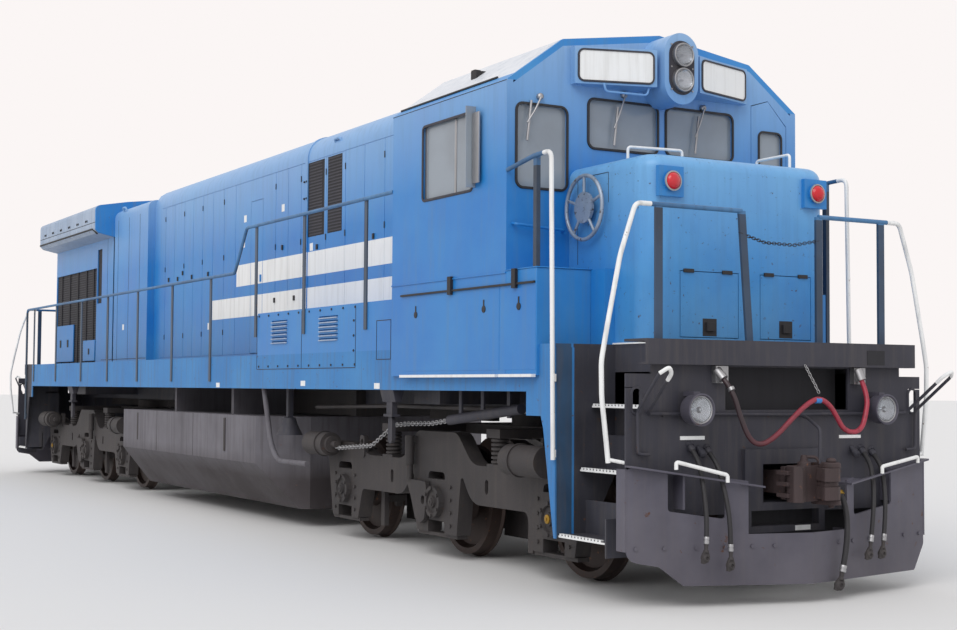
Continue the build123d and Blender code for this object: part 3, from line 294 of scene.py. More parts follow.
# glass with a film of dust
def makeGlass(name, tint, rough, seeThrough):
    material, tree, shader = newMaterial(name)
    shader.inputs["IOR"].default_value = 1.5
    shader.inputs["Transmission Weight"].default_value = seeThrough
    place = addNode(tree, "ShaderNodeTexCoord").outputs["Object"]
    dust = addNode(tree, "ShaderNodeTexNoise", {"Vector": place, "Scale": 2.2, "Detail": 6.0}).outputs[0]
    step = addNode(tree, "ShaderNodeMapRange", {0: dust, 1: 0.4, 2: 0.75, 3: 0.0, 4: 0.5}).outputs[0]
    tree.links.new(mixColours(tree, step, linearColour(tint), linearColour("#8E9298")),
                   shader.inputs["Base Color"])
    tree.links.new(addNode(tree, "ShaderNodeMapRange", {0: dust, 3: rough, 4: rough + 0.15}).outputs[0],
                   shader.inputs["Roughness"])
    return material


# painted reflection: the windows' pale grey tint with little see-through stands for the sky reflected in them
paint["cabGlass"] = makeGlass("dustyCabGlassSkyReflection", "#A6B0BA", 0.06, 0.3)
paint["lensGlass"] = makeGlass("clearLens", "#F2F4F6", 0.02, 0.92)
paint["redLens"] = makeGlass("redLens", "#D81E2C", 0.12, 0.1)
print("materials", len(paint))

slotMaterials = {
    "body_blue": "blueEnamel", "body_dark": "frameBlack", "wing_grey": "paleWing",
    "truck_iron": "oilyCasting", "wheel_steel": "wheelSteel", "plow_steel": "scouredPlow",
    "coupler_iron": "rustyCoupler", "screen_dark": "sootyMeshAndShade", "hose_rubber": "hoseRubber",
    "fitting_steel": "dullSteel", "cab_glass": "cabGlass", "seat_plastic": "seatVinyl",
    "lamp_housing": "blueEnamel"}
nodeMaterials = {
    "nose": "chippedBlue", "nose_hatch_right": "chippedBlue", "nose_hatch_left": "chippedBlue",
    "fuel_tank": "dustyTank", "side_handrails": "sidePosts", "cab_roof": "roofPaint",
    "underframe": "wellPaint", "brake_wheel": "wornWheel"}


# the finish of every node that the pieces below don't replace
def dressNodes():
    for part in frame["record"]["subparts"]:
        node = nodes[part["node"]]
        name = nodeMaterials.get(part["node"], slotMaterials[part["material_slot"]])
        for slot in node.material_slots:
            slot.material = paint[name]


# a box between two corners
def addBox(bm, low, high):
    made = bmesh.ops.create_cube(bm, size=1.0)["verts"]
    low, high = Vector(low), Vector(high)
    size = high - low
    for vert in made:
        vert.co = Vector([low[i] + (vert.co[i] + 0.5) * size[i] for i in range(3)])
    return made


# two directions across the given one, and the given one at length 1
def frameAlong(direction):
    direction = Vector(direction).normalized()
    side = direction.cross(Vector((0, 0, 1)))
    if side.length < 0.01:
        side = Vector((1, 0, 0))
    side.normalize()
    return side, side.cross(direction), direction


# walls between two rings of as many corners
def joinRings(bm, first, second):
    for i in range(len(first)):
        j = (i + 1) % len(first)
        bm.faces.new((first[i], first[j], second[j], second[i]))


# rows of distance and radius, the radius as a share of the size
def scaled(rows, size):
    return [(reach, radius * size) for reach, radius in rows]


# a turned form: rows are distance along the axis and radius
def addTurned(bm, start, direction, rows, sides=24):
    side, lift, along = frameAlong(direction)
    rings = []
    for reach, radius in rows:
        centre = Vector(start) + along * reach
        if radius < 1e-5:
            rings.append([bm.verts.new(centre)])
            continue
        rings.append([bm.verts.new(centre + radius * (math.cos(a) * side + math.sin(a) * lift))
                      for a in (2 * math.pi * i / sides for i in range(sides))])
    for first, second in zip(rings, rings[1:]):
        if len(first) == len(second):
            joinRings(bm, first, second)
            continue
        for i in range(sides):
            j = (i + 1) % sides
            if len(first) == 1:
                bm.faces.new((first[0], second[j], second[i]))
            else:
                bm.faces.new((first[i], first[j], second[0]))
    for ring in (rings[0], rings[-1]):
        if len(ring) > 2:
            bm.faces.new(ring)


# a round bar along a path
def addTube(bm, points, radius, sides=10):
    points = [Vector(p) for p in points]
    rings = []
    side = None
    for i, point in enumerate(points):
        ahead = points[min(i + 1, len(points) - 1)] - points[max(i - 1, 0)]
        if side is None:
            side, lift, _ = frameAlong(ahead)
        ahead.normalize()
        side = (side - ahead * side.dot(ahead)).normalized()
        lift = ahead.cross(side)
        rings.append([bm.verts.new(point + radius * (math.cos(a) * side + math.sin(a) * lift))
                      for a in (2 * math.pi * k / sides for k in range(sides))])
    for first, second in zip(rings, rings[1:]):
        joinRings(bm, first, second)
    bm.faces.new(rings[0])
    bm.faces.new(rings[-1])


# a flat plate: outline corners in the plane of two axes, thick along their normal
def addPlate(bm, origin, uAxis, vAxis, corners, thick):
    u, v = Vector(uAxis), Vector(vAxis)
    normal = u.cross(v).normalized()
    low = [bm.verts.new(Vector(origin) + u * a + v * b) for a, b in corners]
    high = [bm.verts.new(vert.co + normal * thick) for vert in low]
    bm.faces.new(low)
    bm.faces.new(high)
    joinRings(bm, low, high)


# outline of a rectangle with round corners, about its middle
def roundedCorners(width, height, radius, steps=6):
    corners = []
    for cx, cy, start in ((1, 1, 0), (-1, 1, 90), (-1, -1, 180), (1, -1, 270)):
        for i in range(steps + 1):
            a = math.radians(start + 90 * i / steps)
            corners.append((cx * (width / 2 - radius) + radius * math.cos(a),
                            cy * (height / 2 - radius) + radius * math.sin(a)))
    return corners


# a frame round an opening: outer and inner rounded rectangles with a wall between
def addWindowFrame(bm, centre, uAxis, vAxis, width, height, radius, rim, thick):
    u, v = Vector(uAxis), Vector(vAxis)
    normal = u.cross(v).normalized()
    loops = []
    for grow, depth in ((rim, 0), (rim * 0.8, thick), (0.0, thick), (0.0, 0)):
        flat = roundedCorners(width + 2 * grow, height + 2 * grow, radius + grow)
        loops.append([bm.verts.new(Vector(centre) + u * a + v * b + normal * depth) for a, b in flat])
    for first, second in zip(loops, loops[1:] + loops[:1]):
        joinRings(bm, first, second)


# the mesh as a named piece: soft and hard edges, finish, bevel and body
def finishPiece(name, bm, material, body=carbody, slot="body_blue", bevel=0.0, sharp=35):
    bmesh.ops.recalc_face_normals(bm, faces=bm.faces)
    limit = math.radians(sharp)
    for face in bm.faces:
        face.smooth = True
    for edge in bm.edges:
        if len(edge.link_faces) == 2 and edge.calc_face_angle(0) > limit:
            edge.smooth = False
    mesh = bpy.data.meshes.new(name)
    bm.to_mesh(mesh)
    bm.free()
    piece = bpy.data.objects.new(name, mesh)
    scene.collection.objects.link(piece)
    mesh.materials.append(paint[material])
    if bevel:
        cut = piece.modifiers.new("edges", "BEVEL")
        cut.width = bevel
        cut.segments = 2
        cut.limit_method = "ANGLE"
    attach(piece, body)
    return piece


# geometry nodes: a shape repeated on points that carry their facing
def newTree(name, inputs):
    tree = bpy.data.node_groups.new(name, "GeometryNodeTree")
    tree.interface.new_socket("Geometry", in_out="INPUT", socket_type="NodeSocketGeometry")
    for label, kind in inputs:
        tree.interface.new_socket(label, in_out="INPUT", socket_type="NodeSocket" + kind)
    tree.interface.new_socket("Geometry", in_out="OUTPUT", socket_type="NodeSocketGeometry")
    return tree, tree.nodes.new("NodeGroupInput"), tree.nodes.new("NodeGroupOutput")


# the last steps of a tree: real geometry in the given paint
def closeTree(tree, given, out, spread):
    real = addNode(tree, "GeometryNodeRealizeInstances", {0: spread.outputs[0]})
    coat = addNode(tree, "GeometryNodeSetMaterial", {0: real.outputs[0], "Material": given.outputs["Paint"]})
    tree.links.new(coat.outputs[0], out.inputs[0])
    return tree


# bolt heads that stand along each point's facing
def boltTree():
    tree, given, out = newTree("boltHeads", [("Radius", "Float"), ("Height", "Float"),
                                             ("Sides", "Int"), ("Paint", "Material")])
    head = addNode(tree, "GeometryNodeMeshCylinder", {"Vertices": given.outputs["Sides"],
                                                      "Radius": given.outputs["Radius"],
                                                      "Depth": given.outputs["Height"]})
    facing = addNode(tree, "GeometryNodeInputNamedAttribute", {0: "facing"}, data_type="FLOAT_VECTOR")
    turn = addNode(tree, "FunctionNodeAlignRotationToVector", {"Vector": facing.outputs[0]}, axis="Z")
    spread = addNode(tree, "GeometryNodeInstanceOnPoints",
                     {"Points": given.outputs["Geometry"], "Instance": head.outputs["Mesh"],
                      "Rotation": turn.outputs[0]})
    return closeTree(tree, given, out, spread)


# oval links along a line of points, each turned a quarter from the last
def chainTree():
    tree, given, out = newTree("chainLinks", [("Pitch", "Float"), ("Length", "Float"), ("Width", "Float"),
                                              ("Wire", "Float"), ("Paint", "Material")])
    ring = addNode(tree, "GeometryNodeCurvePrimitiveQuadrilateral",
                   {"Width": given.outputs["Width"], "Height": given.outputs["Length"]})
    half = addNode(tree, "ShaderNodeMath", {0: given.outputs["Width"], 1: 0.49}, operation="MULTIPLY")
    soft = addNode(tree, "GeometryNodeFilletCurve", {"Curve": ring.outputs[0], "Radius": half.outputs[0]})
    if "Mode" in soft.inputs:
        soft.inputs["Mode"].default_value = "Poly"
    else:
        soft.mode = "POLY"
    soft.inputs["Count"].default_value = 3
    wire = addNode(tree, "GeometryNodeCurvePrimitiveCircle",
                   {"Resolution": 6, "Radius": given.outputs["Wire"]})
    link = addNode(tree, "GeometryNodeCurveToMesh", {0: soft.outputs[0], 1: wire.outputs[0]})
    stand = addNode(tree, "GeometryNodeTransform", {0: link.outputs[0], "Rotation": (math.pi / 2, 0, 0)})
    path = addNode(tree, "GeometryNodeMeshToCurve", {0: given.outputs["Geometry"]})
    points = addNode(tree, "GeometryNodeCurveToPoints",
                     {0: path.outputs[0], "Length": given.outputs["Pitch"]}, mode="LENGTH")
    index = addNode(tree, "GeometryNodeInputIndex")
    quarter = addNode(tree, "ShaderNodeMath", {0: index.outputs[0], 1: math.pi / 2}, operation="MULTIPLY")
    roll = addNode(tree, "FunctionNodeAxisAngleToRotation", {"Axis": (0, 0, 1), "Angle": quarter.outputs[0]})
    turn = addNode(tree, "FunctionNodeRotateRotation", {0: points.outputs["Rotation"], 1: roll.outputs[0]},
                   rotation_space="LOCAL")
    spread = addNode(tree, "GeometryNodeInstanceOnPoints",
                     {"Points": points.outputs[0], "Instance": stand.outputs[0], "Rotation": turn.outputs[0]})
    return closeTree(tree, given, out, spread)


# slats: boxes repeated by an offset, from each start point
def slatTree():
    tree, given, out = newTree("slats", [("Count", "Int"), ("Offset", "Vector"), ("Size", "Vector"),
                                         ("Paint", "Material")])
    line = addNode(tree, "GeometryNodeMeshLine", {"Count": given.outputs["Count"],
                                                  "Offset": given.outputs["Offset"]})
    bar = addNode(tree, "GeometryNodeMeshCube", {"Size": given.outputs["Size"]})
    row = addNode(tree, "GeometryNodeInstanceOnPoints",
                  {"Points": line.outputs[0], "Instance": bar.outputs[0]})
    spread = addNode(tree, "GeometryNodeInstanceOnPoints",
                     {"Points": given.outputs["Geometry"], "Instance": row.outputs[0]})
    return closeTree(tree, given, out, spread)


trees = {"bolts": boltTree(), "chain": chainTree(), "slats": slatTree()}


# boxes with heights over the rail, repeated at the given ends and sides
def addBoxes(bm, rows, ends=front, sides=(1,)):
    for end in ends:
        for side in sides:
            for x0, x1, y0, y1, z0, z1 in rows:
                xs, ys = sorted((end * x0, end * x1)), sorted((side * y0, side * y1))
                addBox(bm, (xs[0], ys[0], z0 + railTop), (xs[1], ys[1], z1 + railTop))


# two outlines with heights over the rail, closed and joined by walls
def addRings(bm, rings, end, side):
    first, second = ([bm.verts.new((end * x, side * y, z + railTop)) for x, y, z in ring] for ring in rings)
    bm.faces.new(first)
    bm.faces.new(second)
    joinRings(bm, first, second)


# a slab: an outline drawn across the axis, from low to high along it
def addSlab(bm, corners, axis, low, high, end=1, side=1):
    spots = {"x": lambda a, b, t: (t, a, b), "y": lambda a, b, t: (a, t, b), "z": lambda a, b, t: (a, b, t)}
    addRings(bm, [[spots[axis](a, b, t) for a, b in corners] for t in (low, high)], end, side)


# a curve in place of a corner, from the cut on one leg to the cut on the other
def softCorner(here, back, ahead, cut, steps):
    start, stop = here + back.normalized() * cut, here + ahead.normalized() * cut
    shares = [k / steps for k in range(steps + 1)]
    return [(1 - t) ** 2 * start + 2 * t * (1 - t) * here + t * t * stop for t in shares]


# corners softened by their radius: rows of place, place, radius
def roundOutline(rows, steps=5):
    corners = []
    for i, (a, b, radius) in enumerate(rows):
        here = Vector((a, b))
        if radius <= 0:
            corners.append((a, b))
            continue
        back, ahead = (Vector(rows[j % len(rows)][:2]) - here for j in (i - 1, i + 1))
        cut = min(radius / math.tan(back.angle(ahead) / 2), back.length * 0.49, ahead.length * 0.49)
        corners += [tuple(spot) for spot in softCorner(here, back, ahead, cut, steps)]
    return corners


# a round rail through corners over the rail, softened by the bend
def addRail(bm, points, radius, bend=0.06, end=1, side=1, sides=12):
    corners = [Vector((end * x, side * y, z + railTop)) for x, y, z in points]
    path = [corners[0]]
    for before, here, after in zip(corners, corners[1:], corners[2:]):
        back, ahead = before - here, after - here
        cut = min(bend, back.length * 0.45, ahead.length * 0.45)
        path += softCorner(here, back, ahead, cut, 4)
    addTube(bm, path + [corners[-1]], radius, sides)


# a piece made of boxes alone
def boxPiece(name, rows, material, ends=front, sides=(1,), **more):
    bm = bmesh.new()
    addBoxes(bm, rows, ends, sides)
    return finishPiece(name, bm, material, **more)


# a tree on points over the rail: a chain joins them, heads face the same way mirrored to each side
def growPiece(name, treeName, points, values, material, body=carbody, facing=None):
    mesh = bpy.data.meshes.new(name + "Points")
    links = [(i, i + 1) for i in range(len(points) - 1)] if treeName == "chain" else []
    mesh.from_pydata([(x, y, z + railTop) for x, y, z in points], links, [])
    if facing:
        facings = mesh.attributes.new("facing", "FLOAT_VECTOR", "POINT")
        for spot, (x, y, z) in zip(facings.data, points):
            spot.vector = (facing[0], math.copysign(facing[1], y), facing[2])
    seed = bpy.data.objects.new(name + "Points", mesh)
    scene.collection.objects.link(seed)
    grower = seed.modifiers.new("grow", "NODES")
    grower.node_group = trees[treeName]
    values = dict(values, Paint=paint[material])
    for item in trees[treeName].interface.items_tree:
        if item.in_out == "INPUT" and item.name in values:
            grower[item.identifier] = values[item.name]
    view = bpy.context.evaluated_depsgraph_get()
    grown = bpy.data.meshes.new_from_object(seed.evaluated_get(view))
    bpy.data.objects.remove(seed)
    piece = bpy.data.objects.new(name, grown)
    grown.name = name
    if not grown.materials:
        grown.materials.append(paint[material])
    scene.collection.objects.link(piece)
    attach(piece, body)
    return piece


# free hoses and the jumper cable: the routes of the source, in metres
routes = {
    "muHose1": ((9.8, -0.9, 1.16), (9.885, -0.903, 1.08), (9.925, -0.906, 0.96), (9.975, -0.912, 0.79),
        (10.01, -0.925, 0.62), (10.015, -0.935, 0.48)),
    "muHose2": ((9.8, -0.74, 1.14), (9.89, -0.738, 1.065), (9.945, -0.735, 0.94), (10.005, -0.733, 0.78),
        (10.045, -0.735, 0.61), (10.055, -0.74, 0.42)),
    "muHose3": ((9.8, 0.82, 1.115), (9.885, 0.81, 1.04), (9.945, 0.78, 0.93), (10.01, 0.73, 0.78),
        (10.05, 0.68, 0.6), (10.065, 0.64, 0.43)),
    "muHose4": ((9.8, 0.93, 1.1), (9.88, 0.925, 1.03), (9.935, 0.905, 0.92), (9.99, 0.87, 0.77),
        (10.03, 0.83, 0.6), (10.04, 0.8, 0.43)),
    "brakeHose": ((9.955, 0.395, 0.85), (10.035, 0.388, 0.765), (10.085, 0.375, 0.65), (10.11, 0.355, 0.51),
        (10.115, 0.33, 0.36), (10.11, 0.3, 0.22)),
    "jumperCable": ((9.85, -0.64, 1.69), (9.925, -0.61, 1.6), (9.95, -0.56, 1.4), (9.96, -0.48, 1.23),
        (9.965, -0.37, 1.19), (9.97, -0.23, 1.26), (9.975, -0.08, 1.39), (9.98, 0.06, 1.5),
        (9.985, 0.181, 1.555), (9.98, 0.3, 1.5), (9.975, 0.38, 1.4), (9.965, 0.45, 1.31),
        (9.96, 0.56, 1.275), (9.955, 0.66, 1.31), (9.935, 0.72, 1.42), (9.9, 0.78, 1.56),
        (9.85, 0.76, 1.69))}
# node, real length, diameter, stiffness
cordFacts = {
    "muHose1": ("mu_hose_1", 0.733, 0.036, "medium"),
    "muHose2": ("mu_hose_2", 0.787, 0.036, "medium"),
    "muHose3": ("mu_hose_3", 0.778, 0.036, "medium"),
    "muHose4": ("mu_hose_4", 0.745, 0.036, "medium"),
    "brakeHose": ("brake_hose", 0.68, 0.046, "medium"),
    "jumperCable": ("jumper_cable", 2.28, 0.04, "limp")}

# profiles along each fitting: distance in metres, radius as a share of the hose's; the last three
# are collars with their place and direction, and radii in metres
cordFittings = {
    "bands": ((0, 1.12), (0.004, 1.2), (0.02, 1.2), (0.022, 1.1), (0.03, 1.1), (0.032, 1.2), (0.05, 1.2),
        (0.054, 1)),
    "neck": ((0, 0.9), (0.02, 0.8), (0.04, 0.75), (0.05, 1.1), (0.06, 1.1)),
    "seat": ((0, 1.2), (0.006, 1.7), (0.04, 1.75), (0.046, 1.3), (0.05, 1.3), (0.05, 0.7), (0.04, 0.6)),
    "hook": ((-0.06, -0.8), (-0.02, -1.9), (0.04, -2.1), (0.045, -0.9), (0.03, 1.2), (-0.01, 1.9),
        (-0.06, 0.9)),
    "brakeBand": ((9.985, 0.393, 0.824), (0.68, -0.06, -0.73),
        ((0, 0.024), (0.004, 0.028), (0.03, 0.028), (0.034, 0.024))),
    "tape": ((9.984, 0.148, 1.532), (0.0, 1.0, 0.02),
        ((0, 0.021), (0.002, 0.0235), (0.052, 0.0235), (0.055, 0.021))),
    "plugRing": ((9.905, -0.619, 1.628), (0.55, 0.15, -1.0),
        ((0, 0.022), (0.002, 0.027), (0.028, 0.027), (0.03, 0.022)))}


# a free cord as a soft curve with the hose's thickness
def makeCord(name, material):
    curve = bpy.data.curves.new(name, "CURVE")
    curve.dimensions = "3D"
    spline = curve.splines.new("NURBS")
    spline.points.add(len(routes[name]) - 1)
    for point, place in zip(spline.points, routes[name]):
        point.co = (*place, 1)
    spline.order_u = 3
    spline.use_endpoint_u = True
    curve.resolution_u = 10
    curve.bevel_depth = cordFacts[name][2] / 2
    curve.bevel_resolution = 5
    curve.use_fill_caps = True
    piece = bpy.data.objects.new(name, curve)
    curve.materials.append(paint[material])
    scene.collection.objects.link(piece)
    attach(piece, carbody)
    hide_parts(cordFacts[name][0])
    return piece


# red rubber sheath, sooty near its right-hand plug
def cableMaterial():
    material, tree, shader = newMaterial("redCableSheath")
    place = addNode(tree, "ShaderNodeTexCoord").outputs["Object"]
    across = addNode(tree, "ShaderNodeSeparateXYZ", {0: place}).outputs[1]
    clean = addNode(tree, "ShaderNodeMapRange", {0: across, 1: -0.55, 2: 0.2}).outputs[0]
    colour = mixColours(tree, clean, linearColour("#33262A"), linearColour("#A03042"))
    grit = addNode(tree, "ShaderNodeTexNoise", {"Vector": place, "Scale": 35.0, "Detail": 5.0}).outputs[0]
    soot = addNode(tree, "ShaderNodeMapRange", {0: grit, 1: 0.5, 2: 0.75, 4: 0.5}).outputs[0]
    tree.links.new(mixColours(tree, soot, colour, linearColour("#3A2428")), shader.inputs["Base Color"])
    shader.inputs["Roughness"].default_value = 0.42
    return material


paint["cableSheath"] = cableMaterial()


# hose end: crimped silver bands, a steel neck and the flat cast coupling with its gasket
def makeGladhand(name, size):
    end, before = Vector(routes[name][-1]), Vector(routes[name][-2])
    along = (end - before).normalized()
    bm = bmesh.new()
    addTurned(bm, end - along * 0.055, along, scaled(cordFittings["bands"], size), 20)
    bands = finishPiece(name + "Bands", bm, "dullSteel", slot="fitting_steel")
    bm = bmesh.new()
    addTurned(bm, end, along, scaled(cordFittings["neck"], size), 16)
    head = end + along * 0.1
    addTurned(bm, head - Vector((0.03, 0, 0)), (1, 0, 0), scaled(cordFittings["seat"], size), 20)
    addPlate(bm, head - Vector((0.012, 0, 0)), along, Vector((1, 0, 0)).cross(along),
             scaled(cordFittings["hook"], size), 0.02)
    head = finishPiece(name + "Gladhand", bm, "oilyCasting", slot="fitting_steel", bevel=0.003)
    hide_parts("hose_couplings")
    return [bands, head]


# a ring round a hose or plug
def makeCollar(name, key, material, slot):
    bm = bmesh.new()
    addTurned(bm, *cordFittings[key], 20)
    return finishPiece(name, bm, material, slot=slot)


def makeCords():
    for name, (_, length, diameter, stiffness) in cordFacts.items():
        piece = makeCord(name, "cableSheath" if name == "jumperCable" else "hoseRubber")
        if name == "jumperCable":
            continue
        ends = makeGladhand(name, diameter / 2)
        if name == "brakeHose":
            ends.append(makeCollar("brakeHoseBand", "brakeBand", "brass", "fitting_steel"))
    tapePiece = makeCollar("cableTape", "tape", "blueEnamel", "hose_rubber")
    ringPiece = makeCollar("plugRing", "plugRing", "dullSteel", "fitting_steel")


makeCamera()
makeCords()
dressNodes()
print("camera, cords and node finishes")


# points on one side of the track's middle, and their mirror images on the other
def mirrored(points):
    points = list(points)
    return points + [(x, -y, z) for x, y, z in points]


# step wells: stringers, back walls, treads with white toothed edges
wells = {
    "treads": ((0.452, 1.5, 1.24, 9.53), (0.96, 1.3, 1.04, 9.73), (1.46, 1.19, 0.96, 9.73)),
    "stringer": ((8.45, 1.91), (8.875, 1.91), (8.89, 0.42), (8.865, 0.42), (8.709, 1.271), (8.672, 1.367),
        (8.45, 1.367)),
    "wall": ((1.515, 0.45), (1.23, 0.4), (0.96, 0.9), (0.96, 1.91), (1.515, 1.91)), "toothPitch": 0.045,
    "toothSize": (0.026, 0.03, 0.016), "firstTooth": 8.925, "thick": 0.025, "back": 0.012,
    "boards": ((8.87, 9.74, 0.948, 0.96, 0.9, 1.91), (9.53, 9.545, 1.18, 1.5, 0.33, 0.62)),
    "walkEdge": (8.65, 9.555, 0.93, 0.965, 1.941, 1.953)}


def makeWells():
    bm, edge = bmesh.new(), bmesh.new()
    for end in both:
        for side in both:
            addSlab(bm, wells["stringer"], "y", 1.515, 1.53, end, side)
            addSlab(bm, wells["wall"], "x", 8.87, 8.882, end, side)
    rows, strips, teeth = [*wells["boards"]], [], {}
    for z, outer, inner, reach in wells["treads"]:
        rows += [(8.87, reach, inner, outer, z - wells["thick"], z),
                 (8.87, reach, inner - wells["back"], inner, z - wells["thick"], z + 0.26)]
        strips.append((8.9, reach, outer, outer + 0.004, z - 0.022, z - 0.008))
        count = int((reach - 8.92) / wells["toothPitch"])
        teeth.setdefault(count, [])
        for end in both:
            for side in both:
                x = wells["firstTooth"] * end - (0 if end > 0 else (count - 1) * wells["toothPitch"])
                teeth[count].append((x, side * (outer - wells["back"]), z))
    addBoxes(bm, rows, both, both)
    piece = finishPiece("stepWells", bm, "wellPaint", slot="body_dark")
    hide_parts("step_wells")
    addBoxes(edge, strips, both, both)
    addBoxes(edge, [wells["walkEdge"]], front, both)
    finishPiece("treadEdges", edge, "whiteEnamel", slot="body_dark")
    for count, starts in teeth.items():
        growPiece("treadTeeth%d" % count, "slats", starts,
                  {"Count": count, "Offset": (wells["toothPitch"], 0, 0), "Size": wells["toothSize"]},
                  "whiteEnamel")


makeWells()

# end and corner rails, white where hands reach them
endRails = {
    "radius": 0.019, "x": 9.69, "post": 0.032, "half": 0.012,
    "corner": ((8.174, 3.39), (8.6, 3.455), (8.85, 3.462), (8.89, 1.03)),
    "clips": ((8.58, 8.63, 1.515, 1.552, 1.94, 3.455), (8.86, 8.9, 1.53, 1.552, 1.05, 1.11),
        (8.86, 8.9, 1.53, 1.552, 1.64, 1.7)),
    "chain": ((9.69, -0.34, 2.80), (9.69, -0.1, 2.74), (9.69, 0.2, 2.735), (9.69, 0.44, 2.78)),
    "links": {"Pitch": 0.026, "Length": 0.038, "Width": 0.022, "Wire": 0.0032},
    "bends": ((1.34, 2.975), (1.48, 2.575), (1.6, 2.017), (1.645, 1.789), (1.64, 1.519), (1.6, 1.2)),
    "inner": {-1: (0.334, 0.259), 1: (0.455, 0.455)}}


def makeEndRails():
    bm = bmesh.new()
    x, half, post = endRails["x"], endRails["half"], endRails["post"]
    for side in both:
        addRail(bm, [(a, 1.552, b) for a, b in endRails["corner"]], endRails["radius"], 0.07, 1, side)
        addBoxes(bm, endRails["clips"], front, (side,))
        top, foot = endRails["inner"][side]
        points = [(x, top, 2.975)] + [(x, y, z) for y, z in endRails["bends"]]
        points += [(x, 1.582, 1.045)]
        for end in both:
            addRail(bm, points, endRails["radius"], 0.05, end, side)
            addBoxes(bm, [(x - half, x + half, 1.098, 1.162, 1.96, 2.975)], (end,), (side,))
            addRail(bm, [(x, 1.585, 1.07), (9.74, 1.47, 1.045), (9.76, 1.46, 1.045)], 0.014, 0.02, end, side)
            addSlab(bm, [(foot - post, 1.96), (foot + post, 1.96), (top + post, 2.975), (top - post, 2.975)],
                    "x", x - half, x + half, end, side)
    piece = finishPiece("endRails", bm, "railPaint", slot="body_blue")
    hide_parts("end_handrails")
    growPiece("gapChain", "chain", endRails["chain"], endRails["links"], "hoseRubber")


makeEndRails()

# snow plows: outlines are share of the way from corner to tip, height, radius
plows = {
    "corner": 9.79, "tip": 10.12, "half": 1.49, "thick": 0.018,
    "cut": ((0.0, 1.015, 0.05), (0.0, 0.33, 0.11), (0.17, 0.285, 0.04), (0.30, 0.14, 0.04), (1.0, 0.125, 0),
        (1.0, 0.51, 0), (0.645, 0.51, 0), (0.645, 0.905, 0), (0.52, 0.93, 0), (0.52, 0.625, 0.03),
        (0.215, 0.69, 0.03), (0.215, 0.985, 0)),
    "full": ((0.0, 1.015, 0.05), (0.0, 0.33, 0.06), (0.09, 0.125, 0.03), (1.0, 0.125, 0), (1.0, 0.51, 0),
        (0.71, 0.51, 0), (0.71, 0.89, 0), (0.65, 0.905, 0), (0.65, 0.615, 0.03), (0.31, 0.68, 0.03),
        (0.31, 0.965, 0)),
    "shelf": ((9.86, 1.49), (10.08, 0.43), (9.82, 0.43), (9.812, 0.6), (10.01, 0.6), (9.95, 1.01),
        (9.79, 1.01), (9.772, 1.49)),
    "shelfTop": 1.015, "drop": 0.16,
    "ribs": ((9.68, 9.792, 1.485, 1.503, 0.4, 1.0), (9.77, 9.825, 1.28, 1.3, 0.35, 0.99),
        (9.77, 9.99, 0.52, 0.54, 0.2, 0.5), (9.77, 9.885, 1.03, 1.05, 0.7, 0.95)),
    "grabs": (((9.95, -1.16, 1.0), (9.95, -1.16, 1.056), (10.02, -0.74, 0.955), (10.02, -0.74, 0.9)),
        ((10.0, 0.83, 0.93), (10.0, 0.83, 0.985), (9.9, 1.32, 1.05), (9.9, 1.32, 1.0))),
    "bolts": (0.32, 0.5, 0.72, 0.95, 1.2, 1.42), "boltHeight": 0.42}


def makePlows():
    bm = bmesh.new()
    reach = plows["tip"] - plows["corner"]
    span = math.hypot(reach, plows["half"])
    for end in both:
        for side in both:
            rows = plows["full"] if (end, side) == (1, 1) else plows["cut"]
            along = Vector((end * reach, -side * plows["half"], 0)) / span
            flat = roundOutline([(a * span, b, radius) for a, b, radius in rows])
            addPlate(bm, (end * plows["corner"], side * plows["half"], railTop), along, (0, 0, 1), flat,
                     plows["thick"] * side * end)
            addRings(bm, [[(x, y, plows["shelfTop"] + lift - plows["drop"] * (1.49 - y) / 1.06)
                           for x, y in plows["shelf"]] for lift in (0, 0.014)], end, side)
    addBoxes(bm, plows["ribs"], both, both)
    piece = finishPiece("plowPlates", bm, "scouredPlow", slot="plow_steel")
    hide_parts("snow_plows")
    bars = bmesh.new()
    for grab in plows["grabs"]:
        addRail(bars, grab, 0.015, 0.02)
    finishPiece("shelfGrabs", bars, "whiteEnamel", slot="plow_steel")
    spots = [(plows["corner"] + reach * (1 - y / plows["half"]) + 0.004, y, plows["boltHeight"])
             for y in plows["bolts"]]
    growPiece("plowBolts", "bolts", mirrored(spots), {"Radius": 0.016, "Height": 0.014, "Sides": 6},
              "scouredPlow", facing=(1, 0.22, 0))


makePlows()

